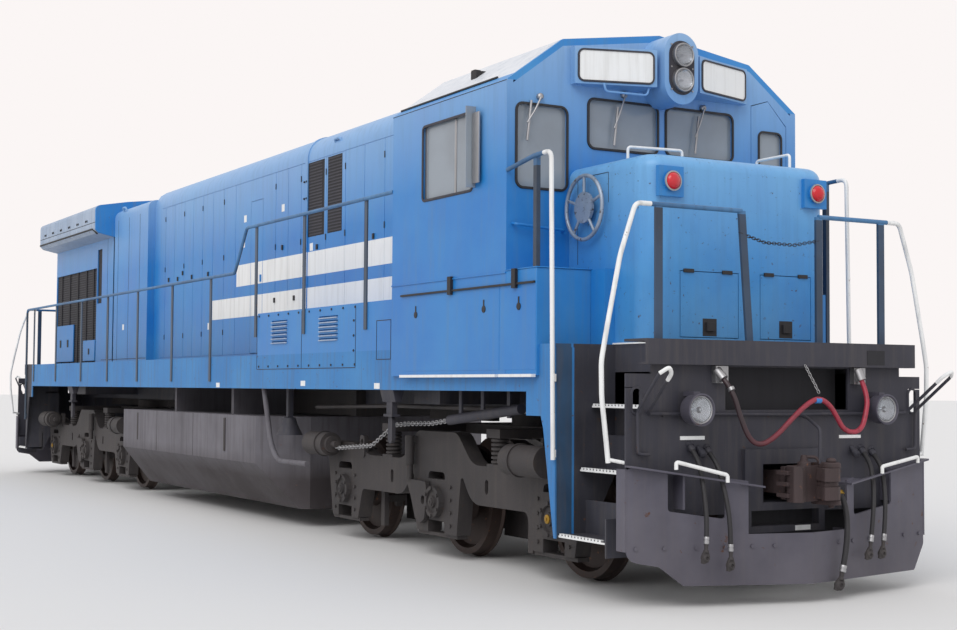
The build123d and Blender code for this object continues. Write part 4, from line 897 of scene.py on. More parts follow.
# end plates: recess behind the jumper cable, slots, striker with its openings
endPlates = {
    "face": ((0.38, 1.48, 0.64, 1.08), (0.0, 1.48, 1.08, 1.405), (1.43, 1.48, 1.405, 1.595),
        (1.25, 1.35, 1.43, 1.6)),
    "striker": ((0, 0.4, 0.49, 0.54), (0.34, 0.4, 0.54, 0.66), (0, 0.4, 0.66, 0.72),
        (0.225, 0.4, 0.72, 1.015), (0, 0.4, 1.015, 1.13)),
    "shelf": ((8.87, 9.75, 0, 0.96, 1.91, 1.94), (9.56, 9.85, 0, 1.35, 1.94, 1.96),
        (9.83, 9.85, 0, 1.35, 1.785, 1.94), (9.75, 9.85, 0, 1.35, 1.77, 1.785)),
    "draft": ((8.87, 9.6, 0.26, 0.3, 0.72, 1.91), (9.6, 9.75, 0.26, 0.3, 0.72, 1.41),
        (8.87, 8.93, 0, 0.26, 0.72, 1.91), (8.87, 9.75, 0, 0.3, 0.695, 0.72)),
    "upper": ((-1.35, 1.35, 1.405, 1.43), (-1.25, -0.56, 1.43, 1.76), (0.685, 1.25, 1.43, 1.76),
        (-1.25, 1.25, 1.76, 1.94), (-1.48, -1.25, 1.6, 1.7), (1.25, 1.48, 1.6, 1.7)),
    "recess": ((9.6, 9.61, -0.58, 0.7, 1.4, 1.77), (9.6, 9.61, -0.5, 1.15, 0.4, 0.71),
        (9.61, 9.75, -0.56, 0.7, 1.41, 1.43), (9.61, 9.75, -0.56, 0.7, 1.755, 1.77)),
    "blanks": ((9.77, 9.774, -0.99, -0.76, 1.208, 1.236), (9.77, 9.774, 0.59, 0.82, 1.204, 1.229),
        (9.81, 9.813, 0.095, 0.25, 0.497, 0.535)),
    "glands": ("muHose1", "muHose2", "muHose3", "muHose4"),
    "gland": ((0, 0.021), (0.01, 0.026), (0.045, 0.026), (0.045, 0.034), (0.07, 0.034)),
    "stubs": ((9.77, -0.82, 1.15 + railTop), (9.77, 0.72, 1.13 + railTop)),
    "stub": ((0, 0.022), (0.05, 0.022), (0.05, 0.03), (0.09, 0.03), (0.095, 0.02)),
    "elbow": ((9.76, 0.4, 0.9 - railTop), (9.9, 0.4, 0.9 - railTop), (9.955, 0.395, 0.85 - railTop)),
    "chain": ((9.86, 0.165, 1.77), (9.984, 0.181, 1.575)),
    "links": {"Pitch": 0.024, "Length": 0.034, "Width": 0.02, "Wire": 0.003}}


def makeEndPlates():
    e = endPlates
    bm = bmesh.new()
    rows = [(9.75, 9.77, *row) for row in e["face"]] + [(9.73, 9.81, *row) for row in e["striker"]]
    addBoxes(bm, rows + [*e["shelf"], *e["draft"]], both, both)
    addBoxes(bm, [(9.75, 9.77, *row) for row in e["upper"]], both)
    for end in both:  # rounded rims of the two slots
        for side in both:
            addWindowFrame(bm, (end * 9.77, side * 1.39, 1.5 + railTop), (0, end, 0), (0, 0, 1), 0.075, 0.18,
                           0.036, 0.018, 0.01)
    for name in e["glands"]:
        start, ahead = Vector(routes[name][0]), Vector(routes[name][1])
        along = (start - ahead).normalized()
        addTurned(bm, start - along * 0.012, along, e["gland"], 16)
    for place in e["stubs"]:  # capped stubs between the hoses
        addTurned(bm, place, (0.75, 0, -0.65), e["stub"], 16)
    addRail(bm, e["elbow"], 0.029, 0.04)
    piece = finishPiece("endPlates", bm, "frameBlack", slot="body_dark")
    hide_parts("end_plates")
    # blank plates where the real ones carry words
    boxPiece("blankPlates", e["blanks"], "whiteEnamel", slot="body_dark")
    # painted shade: near-black sheets in the shelf's notch and on the recess walls stand for the shade inside
    # them
    notch = bmesh.new()
    addBoxes(notch, [(9.85, 9.853, 0.82, 1.01, 1.79, 1.905)])
    addBoxes(notch, e["recess"], both)
    finishPiece("notchAndRecessShade", notch, "sootyMeshAndShade", slot="body_dark")
    growPiece("cableChain", "chain", e["chain"], e["links"], "dullSteel")


makeEndPlates()

# uncoupling levers: one rod across each end with a looped handle at each side
levers = {
    "radius": 0.013,
    "bar": ((9.79, 0, 1.395), (9.79, 1.3, 1.405), (10.15, 1.35, 1.7), (10.195, 1.405, 1.745),
        (10.14, 1.45, 1.7), (9.8, 1.4, 1.42), (9.8, 1.395, 1.11), (9.8, 1.29, 1.105)),
    "arm": ((9.79, 0.13, 1.395), (9.9, 0.13, 1.38), (10.08, 0.11, 1.29), (10.085, 0.1, 1.025)),
    "tip": ((10.09, 1.342, 1.651), (10.15, 1.35, 1.7), (10.195, 1.405, 1.745), (10.14, 1.45, 1.7))}


def makeLevers():
    bm, tips = bmesh.new(), bmesh.new()
    for end in both:
        for side in both:
            addRail(bm, levers["bar"], levers["radius"], 0.03, end, side, 10)
            addRail(tips, levers["tip"], levers["radius"] + 0.0025, 0.03, end, side, 10)
        addRail(bm, levers["arm"], levers["radius"], 0.04, end, 1, 10)
    addBoxes(bm, [(9.77, 9.79, y - 0.008, y + 0.008, 1.381, 1.409) for y in (0.42, 1.15)], both, both)
    piece = finishPiece("crossLevers", bm, "frameBlack", slot="body_dark")
    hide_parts("uncoupling_levers")
    finishPiece("leverTips", tips, "whiteEnamel", slot="body_dark")


makeLevers()

# radiator section: narrower walls, screens and the overhanging wing
radiator = {
    "half": 1.03, "rear": -8.86, "wall": 0.05, "floor": 1.94, "eave": 3.98,
    "screens": ((-8.82, -6.18, 1.96, 3.54), (-6.14, -5.87, 2.94, 3.84)),
    "wing": ((0.96, 3.98, 0), (1.04, 3.98, 0), (1.29, 4.035, 0.04), (1.345, 4.085, 0.02),
        (1.345, 4.47, 0.09), (0.83, 4.56, 0.6), (0, 4.66, 1.5)),
    "wingFront": -5.15, "seams": (-5.54, -4.94, -4.35, -3.78), "seam": (1.029, 1.0315),
    "cooling": ((2.47, 2.98, 3.335, 4.21), (3.07, 3.47, 3.335, 4.21)),
    "bars": (-8.5, -7.95, -7.4, -6.85, -6.4),
    "wingSeam": (-8.84, -5.17, 1.345, 1.348, 4.20, 4.208),
    "doors": ((-8.78, -7.6, 1.018, 1.04, 1.99, 2.64), (-6.95, -6.22, 1.018, 1.04, 1.99, 2.34)),
    "handles": ((-8.5, -8.42, 1.04, 1.048, 2.25, 2.38), (-8.0, -7.92, 1.04, 1.048, 2.25, 2.38),
        (-6.6, -6.54, 1.04, 1.048, 2.1, 2.2)),
    "gutter": ((-8.8, 1.355, 4.1), (-5.3, 1.355, 4.1), (-5.22, 1.3, 4.02)),
    "bolts": (-8.5, -7.95, -7.4, -6.85, -6.3, -5.75)}


# a hood across the track: straight walls, round shoulders, flat top
def hoodOutline(half, eave, top):
    arc = top - eave
    right = [(half, 1.94), (half, eave)]
    for a in (0.4, 0.8, 1.2, math.pi / 2):
        right.append((half - arc + arc * math.cos(a), eave + arc * math.sin(a)))
    return right + [(-y, z) for y, z in reversed(right)]


def makeRadiator():
    r = radiator
    bm = bmesh.new()
    inner = r["half"] - r["wall"]
    (a0, a1, a2, a3), (b0, b1, b2, b3) = r["screens"]
    low, high = r["floor"], r["eave"]
    walls = [(r["rear"], a0, low, high), (a1, b0, low, high), (a0, a1, low, a2), (a0, a1, a3, high),
             (b0, b1, low, b2), (b0, b1, b3, high), (b1, r["wingFront"], low, high)]
    addBoxes(bm, [(x0, x1, inner, r["half"], z0, z1) for x0, x1, z0, z1 in walls], front, both)
    addBoxes(bm, [(r["rear"], r["rear"] + r["wall"], 0, inner, low, high)], front, both)
    addSlab(bm, hoodOutline(r["half"], 4.27, 4.4), "x", r["wingFront"] - r["wall"], -3.37)
    addSlab(bm, hoodOutline(0.92, 4.265, 4.535), "x", -3.37, -3.04)
    piece = finishPiece("radiatorHood", bm, "blueEnamel")
    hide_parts("hood_radiator")
    bm = bmesh.new()
    half = roundOutline(list(r["wing"]) + [(-y, z, radius) for y, z, radius in reversed(r["wing"][:-1])])
    addSlab(bm, half, "x", r["rear"], r["wingFront"])
    piece = finishPiece("radiatorWing", bm, "wingPaint", slot="wing_grey")
    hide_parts("radiator_wings")
    rows = [(x0, x1, r["half"] - 0.03, r["half"] - 0.02, z0, z1) for x0, x1, z0, z1 in r["screens"]]
    rows += [(x0, x1, 0.897, 0.917, z0, z1) for x0, x1, z0, z1 in r["cooling"]]
    piece = boxPiece("screenPanels", rows, "sootyMeshAndShade", front, both, slot="screen_dark")
    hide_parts("air_screens")
    growPiece("screenBars", "slats", mirrored((x, r["half"] - 0.012, 2.75) for x in r["bars"]),
              {"Count": 1, "Offset": (0, 0, 0), "Size": (0.07, 0.02, 1.58)}, "sootyMeshAndShade")
    growPiece("screenWires", "slats", mirrored([(-7.5, r["half"] - 0.018, 2.0)]),
              {"Count": 38, "Offset": (0, 0, 0.04), "Size": (2.62, 0.008, 0.012)}, "frameBlack")
    middles = [((x0 + x1) / 2, 0.918, 3.36) for x0, x1, z0, z1 in r["cooling"]]
    growPiece("coolingSlats", "slats", mirrored(middles),
              {"Count": 24, "Offset": (0, 0, 0.036), "Size": (0.38, 0.006, 0.016)}, "frameBlack")
    boxPiece("serviceDoors", r["doors"], "blueEnamel", front, both, bevel=0.006)
    lines = bmesh.new()  # door seams, handles and the lower edge of the wing
    rows = [(x - 0.004, x + 0.004, *r["seam"], 1.98, 4.22) for x in r["seams"]]
    rows += [(-5.84, -3.4, *r["seam"], 1.995, 2.003), *r["handles"], r["wingSeam"]]
    addBoxes(lines, rows, front, both)
    for side in both:
        addRail(lines, r["gutter"], 0.014, 0.05, 1, side)
    finishPiece("radiatorSeams", lines, "hoseRubber", slot="body_dark")
    growPiece("wingBolts", "bolts", mirrored([(x + dx, 1.345, 4.26) for x in r["bolts"] for dx in (0, 0.08)]),
              {"Radius": 0.02, "Height": 0.02, "Sides": 6}, "hoseRubber", facing=(0, 1, 0))


makeRadiator()
print("end structure, plows, rails and radiator section")

# stripes on the hoods, cut at the door seams: low and high edge, rear end
stripes = {
    "rows": ((2.88, 3.16, 0.15), (2.478, 2.742, -0.77)), "front": 6.035, "thick": 0.0012, "gap": 0.006,
    "door": (0.66, 1.08), "leaf": (0.67, 1.07),
    "seams": (0.1, 1.5, 1.9, 2.3, 2.45, 2.51, 3.03, 3.56, 4.06, 4.56, 5.06, 5.56)}


def makeStripes():
    rows = []
    for low, high, start in stripes["rows"]:
        cuts = [start] + [x for x in stripes["seams"] if x > start] + [stripes["front"]]
        if start < stripes["door"][0]:  # the hood door has its own piece
            cuts += [*stripes["door"]] + ([-0.34] if start < -0.34 else [])
        cuts.sort()
        for x0, x1 in zip(cuts, cuts[1:]):
            if x0 == stripes["door"][0]:
                continue
            out = 0.932 if 2.44 < x0 < 2.5 else 0.92
            rows.append((x0 + stripes["gap"] / 2, x1 - stripes["gap"] / 2, out - 0.002,
                         out + stripes["thick"], low, high))
    boxPiece("hoodStripes", rows, "whiteEnamel", front, both)
    for side, body in ((-1, "right_hood_door"), (1, "left_hood_door")):
        rows = [(*stripes["leaf"], 0.918, 0.9212, low, high) for low, high, _ in stripes["rows"]]
        boxPiece("doorStripes" + body[:1].upper(), rows, "whiteEnamel", front, (side,), body=body)


makeStripes()

# hood fittings: hinges, latches, blank labels, bolt rows, louver lips, lifting eyes
hoods = {
    "hinges": (3.03, 3.56, 4.56, 5.56, 1.5, 2.3, -0.34, -1.2, -1.99, -2.85),
    "hingeHeights": (2.3, 3.3, 4.05), "skin": 0.918,
    "latches": ((-2.668, 3.139), (-2.253, 3.129), (-2.032, 3.2), (-1.633, 3.121), (-0.95, 3.12),
        (1.731, 3.278), (2.789, 3.203), (1.496, 2.644), (2.12, 2.642), (4.3, 3.2), (5.3, 3.2)),
    "labels": ((1.734, 3.763), (0.45, 3.75), (0.4, 3.424), (2.617, 3.216), (-0.9, 2.4), (-4.6, 2.5)),
    "louvers": ((2.95, 3.40), (4.27, 4.75)),
    "sillPlates": ((5.683, 1.597), (1.203, 1.597), (3.859, 1.62)),
    "seams": ((2.5, 5.18, 1.775, 1.782), (3.8, 3.808, 1.78, 2.4), (5.176, 5.184, 1.78, 2.4),
        (2.49, 2.498, 1.78, 2.4), (5.66, 5.668, 1.85, 2.23), (5.97, 5.978, 1.85, 2.23),
        (5.66, 5.978, 2.225, 2.232), (5.66, 5.978, 1.85, 1.857)),
    "roof": ((2.3, 2.45, -0.2, 0.2, 4.535, 4.56), (-1.95, -1.75, -0.3, 0.3, 4.65, 4.69)),
    "eyes": ((-4.65, 0.98), (3.3, 0.86))}


def makeHoodFittings():
    bm, eyes = bmesh.new(), bmesh.new()
    skin = hoods["skin"]
    addBoxes(bm, [(x - 0.007, x + 0.007, skin, 0.928, z - 0.035, z + 0.035)
                  for x in hoods["hinges"] for z in hoods["hingeHeights"]], front, both)
    addBoxes(bm, [(x - 0.018, x + 0.018, skin, 0.935, z - 0.03, z + 0.03) for x, z in hoods["latches"]],
             front, both)
    addBoxes(bm, [(x0, x1, 1.53, 1.5325, z0, z1) for x0, x1, z0, z1 in hoods["seams"]], front, both)
    addBoxes(bm, hoods["roof"])
    finishPiece("hoodHinges", bm, "hoseRubber", slot="body_dark", bevel=0.001)
    rows = [(x, z, 0.92 if x > -3 else 1.03, 0.0012, 0.045, 0.045) for x, z in hoods["labels"]]
    rows += [(x, z, 1.53, 0.003, 0.06, 0.028) for x, z in hoods["sillPlates"]]
    labels = [(x - wide, x + wide, face, face + thick, z - tall, z + tall)
              for x, z, face, thick, wide, tall in rows]
    boxPiece("blankLabels", labels, "whiteEnamel", front, both)
    # painted highlight: the louver lips are painted pale grey-blue for the light along their edges
    growPiece("louverLipHighlights", "slats", mirrored([((x0 + x1) / 2, 1.536, 2.068) for x0, x1 in hoods["louvers"]]),
              {"Count": 6, "Offset": (0, 0, 0.046), "Size": (0.45, 0.022, 0.012)}, "paleWing")
    spots = [(2.56 + 0.29 * i, 1.531, z) for i in range(10) for z in (1.81, 2.385)]
    spots += [(5.14, 1.531, z) for z in (1.95, 2.1, 2.25)]
    spots += [(x, 0.932, 2.2 + 0.2 * i) for x in (2.41, 2.48) for i in range(10)]
    growPiece("cabinetBolts", "bolts", mirrored(spots), {"Radius": 0.013, "Height": 0.014, "Sides": 6},
              "hoseRubber", facing=(0, 1, 0))
    for x, y in hoods["eyes"]:
        for side in both:
            addRail(eyes, [(x - 0.09, y, 4.3), (x - 0.07, y + 0.05, 4.4), (x + 0.07, y + 0.05, 4.4),
                           (x + 0.09, y, 4.3)], 0.016, 0.03, 1, side)
    finishPiece("liftingEyes", eyes, "blueEnamel")


makeHoodFittings()

# cab windows: face of the wall, way across, corner radius, then openings as y, y, z, z
windowRows = {
    "walls": ((8.168, 1, 0.055, ((-0.754, -0.017, 3.64, 4.07), (0.066, 0.818, 3.64, 4.07),
        (-1.47, -0.965, 3.255, 3.965))), (6.052, -1, 0.045, ((0.98, 1.43, 3.3, 3.96),))),
    "side": (6.66, 7.6, 3.28, 3.97), "rubber": 0.022, "lap": 0.02,
    "doors": (("frontDoorPane", "front_cab_door", 8.145, 8.168, 1, 1.12, 1.39, 3.45, 3.95),
        ("rearDoorPane", "rear_cab_door", 6.07, 6.052, -1, -1.36, -1.05, 3.35, 3.95))}


def makeWindowRubbers():
    bm = bmesh.new()
    lap = windowRows["lap"]
    for face, across, radius, openings in windowRows["walls"]:
        for y0, y1, z0, z1 in openings:
            addWindowFrame(bm, (face, (y0 + y1) / 2, (z0 + z1) / 2 + railTop), (0, across, 0), (0, 0, 1),
                           y1 - y0 - lap, z1 - z0 - lap, radius, windowRows["rubber"], 0.014)
    finishPiece("windowRubbers", bm, "hoseRubber", slot="hose_rubber")
    x0, x1, z0, z1 = windowRows["side"]
    bm = bmesh.new()
    for side in both:
        addWindowFrame(bm, ((x0 + x1) / 2, side * 1.558, (z0 + z1) / 2 + railTop), (-side, 0, 0), (0, 0, 1),
                       x1 - x0 - 0.03, z1 - z0 - 0.03, 0.03, 0.025, 0.01)
    finishPiece("sideWindowRims", bm, "frameBlack", slot="body_dark")
    rows = [(x - 0.016, x + 0.016, 1.522, 1.54, z0, z1) for x in (x0 + 0.03, (x0 + x1) / 2 + 0.12, x1 - 0.05)]
    boxPiece("sashBars", rows + [(7.655, 7.77, 1.585, 1.6, 3.33, 3.94)], "dullSteel", front, both,
             slot="fitting_steel", bevel=0.002)
    for name, body, x, face, across, y0, y1, z0, z1 in windowRows["doors"]:
        bm = bmesh.new()
        addPlate(bm, (x, (y0 + y1) / 2, (z0 + z1) / 2 + railTop), (0, 1, 0), (0, 0, 1),
                 roundedCorners(y1 - y0 - 0.002, z1 - z0 - 0.002, 0.049), 0.006)
        finishPiece(name, bm, "cabGlass", body=body, slot="cab_glass")
        bm = bmesh.new()
        addWindowFrame(bm, (face, (y0 + y1) / 2, (z0 + z1) / 2 + railTop), (0, across, 0), (0, 0, 1),
                       y1 - y0 - lap, z1 - z0 - lap, 0.045, 0.02, 0.012)
        finishPiece(name + "Rubber", bm, "hoseRubber", body=body, slot="hose_rubber")


# cab fittings: wipers as pivot and tip of the blade, across and height; boxes of both sides, then
# those of the right side alone; rails as corners and radius
cabFittings = {
    "wipers": (((-1.246, 4.03), (-1.372, 3.65)), ((-0.39, 4.13), (-0.494, 3.68)),
        ((0.47, 4.1), (0.38, 3.68))),
    "hub": ((0, 0.03), (0.035, 0.028), (0.045, 0.015)), "locker": (8.17, 8.65, 1.69, 2.55),
    "keyholes": ((6.553, both), (7.809, both), (8.38, (-1,))),
    "beads": ((6.05, 8.17, 1.56, 1.569, 2.533, 2.545), (6.26, 8.066, 1.56, 1.562, 1.735, 2.43)),
    "rightBeads": ((8.09, 8.64, -1.5615, -1.56, 1.735, 2.43),),
    "blueRails": (((8.165, -1.5, 2.95), (8.23, -1.5, 2.94), (8.23, -1.02, 2.91), (8.165, -1.02, 2.91), 0.012),
        ((8.36, -0.72, 4.17), (8.36, -0.7, 4.1), (8.4, -0.3, 4.1), (8.4, -0.28, 4.17), 0.01)),
    "trim": ((6.26, 8.1, 1.562, 1.578, 2.427, 2.445), (7.2, 7.26, 1.56, 1.59, 2.4, 2.56),
        (6.05, 8.165, 1.56, 1.5625, 4.142, 4.148)),
    "rightTrim": ((8.1, 8.63, -1.578, -1.56, 2.427, 2.445), (8.3, 8.36, -1.59, -1.56, 2.4, 2.56),
        (7.0, 7.1, -1.25, -1.14, 4.37, 4.45), (6.95, 7.02, -1.22, -1.16, 4.44, 4.475)),
    "whiteRails": (((8.4, -0.5, 3.44), (8.4, -0.5, 3.64), (8.47, 0.02, 3.64), (8.47, 0.02, 3.44), 0.013),
        ((8.55, 0.78, 3.4), (8.55, 0.78, 3.6), (8.98, 0.78, 3.6), (8.98, 0.78, 3.4), 0.013)),
    "noseHinges": (-0.55, -0.163, 0.27, 0.632),
    "lockerDoor": ((8.3, 8.305, -0.943, -0.94, 2.62, 3.35), (8.3, 8.75, -0.943, -0.94, 3.345, 3.35),
        (8.75, 8.755, -0.943, -0.94, 3.1, 3.35)),
    "latches": (("hatchLatchR", "right_nose_hatch", -0.338), ("hatchLatchL", "left_nose_hatch", 0.451))}


def makeCabFittings():
    c = cabFittings
    bm = bmesh.new()
    for (y0, z0), (y1, z1) in c["wipers"]:
        addRail(bm, [(8.17, y0, z0), (8.21, y0, z0), (8.2, (y0 + y1) / 2, (z0 + z1) / 2 + 0.06),
                     (8.19, y1, z1 + 0.15)], 0.008, 0.02)
        addRail(bm, [(8.186, y1 + 0.04, z1 + 0.34), (8.186, y1, z1)], 0.011, 0.01)
        addTurned(bm, (8.165, y0, z0 + railTop), (1, 0, 0), c["hub"], 16)
    finishPiece("wipers", bm, "dullSteel", slot="fitting_steel")
    x0, x1, z0, z1 = c["locker"]
    boxPiece("sideLocker", [(x0, x1, -1.56, -1.04, z0, z1), (x0, x1 + 0.01, -1.566, -1.03, z1, z1 + 0.01)],
             "patchedBlue", bevel=0.004)
    bm = bmesh.new()
    addBoxes(bm, c["beads"], front, both)
    addBoxes(bm, c["rightBeads"])
    for *corners, radius in c["blueRails"]:
        addRail(bm, corners, radius, 0.03)
    finishPiece("cabBeads", bm, "blueEnamel", bevel=0.001)
    bm = bmesh.new()
    addBoxes(bm, c["trim"], front, both)
    addBoxes(bm, c["rightTrim"])
    for x, sides in c["keyholes"]:
        for side in sides:
            addTurned(bm, (x, side * 1.556, 2.25 + railTop), (0, side, 0), [(0, 0.032), (0.012, 0.03)], 16)
            addBoxes(bm, [(x - 0.008, x + 0.008, 1.56, 1.567, 2.25, 2.33)], front, (side,))
    for side in both:
        addRail(bm, [(6.06, 1.478, 4.216), (7.85, 1.466, 4.226)], 0.012, 0.01, 1, side)
    finishPiece("cabTrim", bm, "hoseRubber", slot="body_dark", bevel=0.001)
    bm = bmesh.new()
    addBoxes(bm, [(6.3, 8.06, 1.56, 1.6, 1.676, 1.7)], front, both)
    addBoxes(bm, [(8.12, 8.64, -1.6, -1.56, 1.676, 1.7)])
    for *corners, radius in c["whiteRails"]:
        addRail(bm, corners, radius, 0.03)
    finishPiece("whiteGrabs", bm, "whiteEnamel")
    # nose: hatch hinges, latch boxes, locker door outline
    rows = [(9.298, 9.312, y - 0.05, y + 0.05, 2.51, 2.54) for y in c["noseHinges"]]
    boxPiece("noseHinges", rows + [*c["lockerDoor"]], "hoseRubber", slot="body_dark", bevel=0.002)
    for name, body, y in c["latches"]:
        rows = [(9.3, 9.302, y - 0.07, y + 0.07, 2.01, 2.15), (9.3, 9.322, y - 0.04, y + 0.04, 2.05, 2.12)]
        boxPiece(name, rows, "hoseRubber", body=body, slot="body_dark", bevel=0.002)


# number plates: blank, at a slant on each side of the headlights
plateRows = {
    "inner": (8.4445, 0.248), "outer": (8.2425, 0.912), "low": 4.188, "high": 4.472,
    "margin": (0.04, 0.03), "radius": 0.04, "sunk": 0.004}


def makeNumberPlates():
    white, rim = bmesh.new(), bmesh.new()
    p = plateRows
    for side in both:
        a, b = (Vector((p[key][0], side * p[key][1], 0)) for key in ("inner", "outer"))
        middle = (a + b) / 2 + Vector((0, 0, (p["low"] + p["high"]) / 2 + railTop))
        u = (b - a).normalized() * side
        width, height = (b - a).length - p["margin"][0], p["high"] - p["low"] - p["margin"][1]
        place = middle - u.cross(Vector((0, 0, 1))) * p["sunk"]
        addPlate(white, place, u, (0, 0, 1), roundedCorners(width, height, p["radius"]), 0.008)
        addWindowFrame(rim, place, u, (0, 0, 1), width, height, p["radius"], 0.018, 0.014)
    finishPiece("numberPlates", white, "whiteEnamel", slot="lamp_housing")
    finishPiece("numberRims", rim, "frameBlack", slot="lamp_housing")


# lamps: forms are distance along the axis, radius as a share of the lamp's; the drum's in metres
lampRows = {
    "headlights": ((8.496, 0, 4.463), (8.496, 0, 4.247)), "headRadius": 0.094,
    "ditch": ((9.913, -0.93, 1.435), (9.913, 0.93, 1.435)), "ditchRadius": 0.1,
    "bowl": ((0, 1), (0.035, 1), (0.033, 0.95), (0.02, 0.72), (0.008, 0.35), (0.006, 0.12), (0.022, 0.1),
        (0.026, 0)),
    "lens": ((0, 0.97), (0.005, 0.95), (0.013, 0.6), (0.016, 0)),
    "rim": ((0, 1.12), (0.036, 1.1), (0.04, 1.02), (0.036, 0.96), (0.03, 0.98), (0.0, 0.98)),
    "red": ((0, 1), (0.012, 0.96), (0.03, 0.7), (0.038, 0.35), (0.04, 0)),
    "redRim": ((0, 1.2), (0.008, 1.18), (0.01, 1.02), (0.0, 1.02)),
    "drum": ((0, 0.07), (0.035, 0.075), (0.035, 0.108), (0.06, 0.114), (0.145, 0.118), (0.148, 0.122),
        (0.162, 0.122), (0.165, 0.112), (0.15, 0.104), (0.12, 0.1)),
    "marker": ((9.362, -0.746, 3.22), (9.362, 0.746, 3.22)), "markerRadius": 0.068,
    "screws": [(8.498, y, z) for y in (-0.112, 0.112) for z in (4.16, 4.355, 4.55)]}


def makeLamps():
    bowls, lenses, rims, reds, drums, plate = (bmesh.new() for _ in range(6))
    addPlate(plate, (8.488, 0, 4.355 + railTop), (0, 1, 0), (0, 0, 1), roundedCorners(0.27, 0.47, 0.13, 8),
             0.008)
    finishPiece("headlightBezel", plate, "frameBlack", slot="lamp_housing", bevel=0.002)
    for kind, radius in (("headlights", lampRows["headRadius"]), ("ditch", lampRows["ditchRadius"])):
        for x, y, z in lampRows[kind]:
            centre = Vector((x, y, z + railTop))
            addTurned(bowls, centre, (1, 0, 0), scaled(lampRows["bowl"], radius), 32)
            addTurned(lenses, centre + Vector((0.03, 0, 0)), (1, 0, 0), scaled(lampRows["lens"], radius), 32)
            addTurned(rims, centre, (1, 0, 0), scaled(lampRows["rim"], radius), 32)
    for x, y, z in lampRows["ditch"]:
        addTurned(drums, (9.8, y, z + railTop), (1, 0, 0), lampRows["drum"], 32)
        addTurned(drums, (9.765, y, z + railTop), (1, 0, 0), [(0, 0.045), (0.06, 0.04)], 20)
        addBoxes(drums, [(9.77, 9.9, y - 0.03, y + 0.03, z + 0.1, z + 0.135)])
    for x, y, z in lampRows["marker"]:
        centre = Vector((x, y, z + railTop))
        radius = lampRows["markerRadius"]
        addTurned(reds, centre, (1, 0, 0), scaled(lampRows["red"], radius), 28)
        addTurned(rims, centre, (1, 0, 0), scaled(lampRows["redRim"], radius), 28)
    piece = finishPiece("ditchDrums", drums, "scouredPlow", slot="fitting_steel")
    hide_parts("ditch_lights")
    finishPiece("lampBowls", bowls, "lampMirror", slot="fitting_steel")
    finishPiece("lampLenses", lenses, "lensGlass", slot="cab_glass")
    finishPiece("lampRims", rims, "dullSteel", slot="fitting_steel")
    finishPiece("markerLenses", reds, "redLens", slot="cab_glass")
    growPiece("bezelScrews", "bolts", lampRows["screws"], {"Radius": 0.008, "Height": 0.008, "Sides": 8},
              "dullSteel", facing=(1, 0, 0))


makeWindowRubbers()
makeCabFittings()
makeNumberPlates()
makeLamps()
print("stripes, hood fittings, windows, plates and lamps")

# couplers: shank, collar, head with guard arm, knuckle on its pin, lock lifter
couplers = {
    "height": 0.876,
    "head": ((9.96, -0.12, 0.02), (10.05, -0.2, 0.03), (10.15, -0.215, 0.02), (10.175, -0.15, 0.012),
        (10.11, -0.06, 0.025), (10.075, 0.07, 0), (10.085, 0.25, 0.03), (9.96, 0.14, 0.02)),
    "knuckle": ((10.07, 0.075, 0), (10.165, 0.075, 0.025), (10.19, 0.022, 0.015), (10.235, 0.015, 0.012),
        (10.25, 0.05, 0.015), (10.25, 0.14, 0.04), (10.2, 0.205, 0.05), (10.07, 0.23, 0)),
    "pin": (10.14, 0.165),
    "lug": ((0, 0.074), (0.034, 0.07), (0.04, 0.06)),
    "pinForm": ((0, 0.018), (0.005, 0.022), (0.345, 0.022), (0.346, 0.036), (0.36, 0.04), (0.375, 0.03),
        (0.38, 0.012)),
    "lifter": ((0, 0.055), (0.03, 0.05), (0.04, 0.03), (0.085, 0.022)),
    "ribs": ((-0.1, -0.07), (-0.015, 0.015), (0.07, 0.1)), "layers": ((0.02, 0.12), (-0.12, -0.02))}


def makeCouplers():
    c = couplers
    z = c["height"]
    bm = bmesh.new()
    head, knuckle = roundOutline(c["head"]), roundOutline(c["knuckle"])
    px, py = c["pin"]
    for end in both:
        addBoxes(bm, [(9.0, 9.97, -0.075, 0.075, z - 0.09, z + 0.09),
                      (9.9, 9.95, -0.13, 0.13, z - 0.125, z + 0.125)], (end,))
        addBoxes(bm, [(9.97, 10.1, -0.232, -0.19, z + low, z + high) for low, high in c["ribs"]], (end,))
        addSlab(bm, head, "z", z - 0.135, z + 0.135, end)
        for low, high in c["layers"]:
            addSlab(bm, knuckle, "z", z + low, z + high, end)
        addSlab(bm, [(a - 0.022, b * 0.9 + 0.02) for a, b in knuckle], "z", z - 0.02, z + 0.02, end)
        for low in (z + 0.121, z - 0.161):  # lugs that hold the knuckle pin
            addTurned(bm, (end * px, py, low + railTop), (0, 0, 1), c["lug"], 24)
            addBoxes(bm, [(9.99, px, py - 0.07, py + 0.07, low, low + 0.036)], (end,))
        addTurned(bm, (end * px, py, z - 0.185 + railTop), (0, 0, 1), c["pinForm"], 20)
        addTurned(bm, (end * 10.02, 0.0, z + 0.13 + railTop), (0, 0, 1), c["lifter"], 20)
        addRail(bm, [(10.02, 0, z + 0.2), (10.07, 0.08, z + 0.2), (10.085, 0.1, z + 0.15)], 0.012, 0.03, end)
    piece = finishPiece("couplerCastings", bm, "rustyCoupler", slot="coupler_iron", bevel=0.006)
    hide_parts("couplers")


makeCouplers()

# truck bolts and axle caps
trucks = {
    "pivots": {"truck_front": 6.19, "truck_rear": -6.19},
    "legs": (-2.31, -1.825, -0.282, 0.282, 1.825, 2.31), "heights": (0.3, 0.42, 0.54, 0.66),
    "axles": (-2.07, 0.0, 2.07), "axleHeight": 0.508, "face": 1.14, "boltRing": 0.13,
    "cap": ((0, 0.04), (0.016, 0.038), (0.02, 0.026), (0.02, 0.012), (0.026, 0.011))}


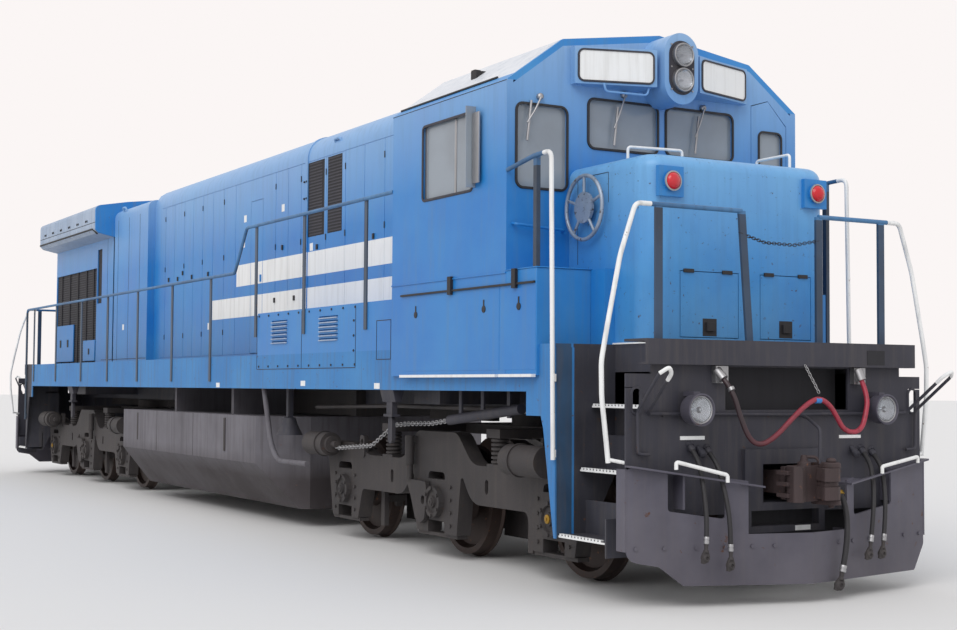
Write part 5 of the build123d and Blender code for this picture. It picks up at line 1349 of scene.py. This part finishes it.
def makeTruckDetail():
    t = trucks
    for body, pivot in t["pivots"].items():
        caps, brassCaps = bmesh.new(), bmesh.new()
        spots = [(pivot + leg, t["face"] + 0.004, z) for leg in t["legs"] for z in t["heights"]]
        for axle in t["axles"]:
            for a in (math.pi / 6 + i * math.pi / 3 for i in range(6)):
                spots.append((pivot + axle + t["boltRing"] * math.cos(a), t["face"] + 0.06,
                              t["axleHeight"] + t["boltRing"] * math.sin(a)))
            for side in both:
                addTurned(brassCaps if axle * pivot > 0 else caps,
                          (pivot + axle, side * (t["face"] + 0.055), t["axleHeight"] + railTop), (0, side, 0),
                          t["cap"], 20)
        growPiece("castingBolts_" + body, "bolts", mirrored(spots),
                  {"Radius": 0.018, "Height": 0.022, "Sides": 6}, "oilyCasting", body=body,
                  facing=(0, 1, 0))
        finishPiece("axleCaps_" + body, caps, "oilyCasting", body=body, slot="truck_iron")
        finishPiece("brassCaps_" + body, brassCaps, "brass", body=body, slot="fitting_steel")


# drain pipe, tank gauges, ducts hung low along the deck, and the handbrake's chain: its lower run
# hangs on the truck's brake lever
underDeck = {
    "drain": ((2.53, -1.45, 1.57), (2.76, -1.45, 0.93), (2.98, -1.45, 0.75), (3.81, -1.45, 0.755)),
    "gauges": ((-2.2, -2.16, 1.5, 1.505, 0.82, 1.2), (1.36, 1.41, 1.5, 1.512, 0.8, 1.2),
        (0.2, 0.208, 1.5, 1.502, 0.7, 1.24), (-1.3, -1.292, 1.5, 1.502, 0.7, 1.24)),
    "ducts": ((3.95, 5.35, -0.04, 0.04, 1.24, 1.6), (6.95, 8.6, -0.04, 0.04, 1.24, 1.6)),
    "trough": (-3.0, 3.0, -0.5, 0.5, 1.25, 1.55),
    "pipe": ((3.3, 1.12, 1.36), (5.3, 1.14, 1.4), (8.3, 1.14, 1.4)),
    "chain": ((6.76, -1.3, 1.29), (6.35, -1.285, 1.25), (5.85, -1.28, 1.235), (5.5, -1.28, 1.21)),
    "leverChain": ((5.46, -1.28, 1.17), (5.06, -1.28, 0.996), (4.22, -1.28, 0.94)),
    "links": {"Pitch": 0.042, "Length": 0.06, "Width": 0.036, "Wire": 0.0055}}


def makeUnderDeck():
    d = underDeck
    bm = bmesh.new()
    addRail(bm, d["drain"], 0.03, 0.2)
    finishPiece("drainPipe", bm, "dustyTank", slot="body_dark")
    boxPiece("tankGauges", d["gauges"], "oilyCasting", front, both, slot="body_dark")
    bm = bmesh.new()
    addBoxes(bm, d["ducts"], both)
    addBoxes(bm, [d["trough"]])
    for side in both:
        addRail(bm, d["pipe"], 0.022, 0.05, 1, side)
    finishPiece("deckDucts", bm, "oilyCasting", slot="body_dark")
    growPiece("handbrakeChain", "chain", d["chain"], d["links"], "dullSteel")
    growPiece("leverChain", "chain", d["leverChain"], d["links"], "dullSteel", body="truck_front")


makeTruckDetail()
makeUnderDeck()
print("truck bolts, caps and chains")


# floor, one soft sun and a pale sky that is paler where the camera sees it
stage = {
    "reach": 220, "floor": "#E4E2E0", "rough": 0.9, "sun": 1.3, "soft": 40, "tilt": 48, "turn": 38,
    "light": "#ECEEF2", "share": 0.85, "seen": "#FBF6F5"}


def makeStage():
    mesh = bpy.data.meshes.new("floor")
    bm = bmesh.new()
    bmesh.ops.create_circle(bm, cap_ends=True, segments=64, radius=stage["reach"])
    bm.to_mesh(mesh)
    bm.free()
    floor = bpy.data.objects.new("floor", mesh)
    scene.collection.objects.link(floor)
    material, tree, shader = newMaterial("paleFloor")
    shader.inputs["Base Color"].default_value = linearColour(stage["floor"])
    shader.inputs["Roughness"].default_value = stage["rough"]
    mesh.materials.append(material)
    sun = bpy.data.lights.new("softSun", "SUN")
    sun.energy = stage["sun"]
    sun.angle = math.radians(stage["soft"])
    lamp = bpy.data.objects.new("softSun", sun)
    lamp.rotation_euler = (math.radians(stage["tilt"]), 0, math.radians(stage["turn"]))
    scene.collection.objects.link(lamp)
    world = bpy.data.worlds.new("sky")
    scene.world = world
    world.use_nodes = True
    tree = world.node_tree
    tree.nodes.clear()
    light = addNode(tree, "ShaderNodeBackground", {0: linearColour(stage["light"]), 1: stage["share"]})
    seen = addNode(tree, "ShaderNodeBackground", {0: linearColour(stage["seen"]), 1: 1.0})
    path = addNode(tree, "ShaderNodeLightPath")
    clear = path.outputs["Is Camera Ray"]
    for other in ("Is Glossy Ray", "Is Transmission Ray"):
        clear = addNode(tree, "ShaderNodeMath", {0: clear, 1: path.outputs[other]},
                        operation="MAXIMUM").outputs[0]
    look = addNode(tree, "ShaderNodeMixShader", {0: clear, 1: light.outputs[0], 2: seen.outputs[0]})
    out = tree.nodes.new("ShaderNodeOutputWorld")
    tree.links.new(look.outputs[0], out.inputs[0])
    scene.view_settings.view_transform = "Standard"


makeStage()
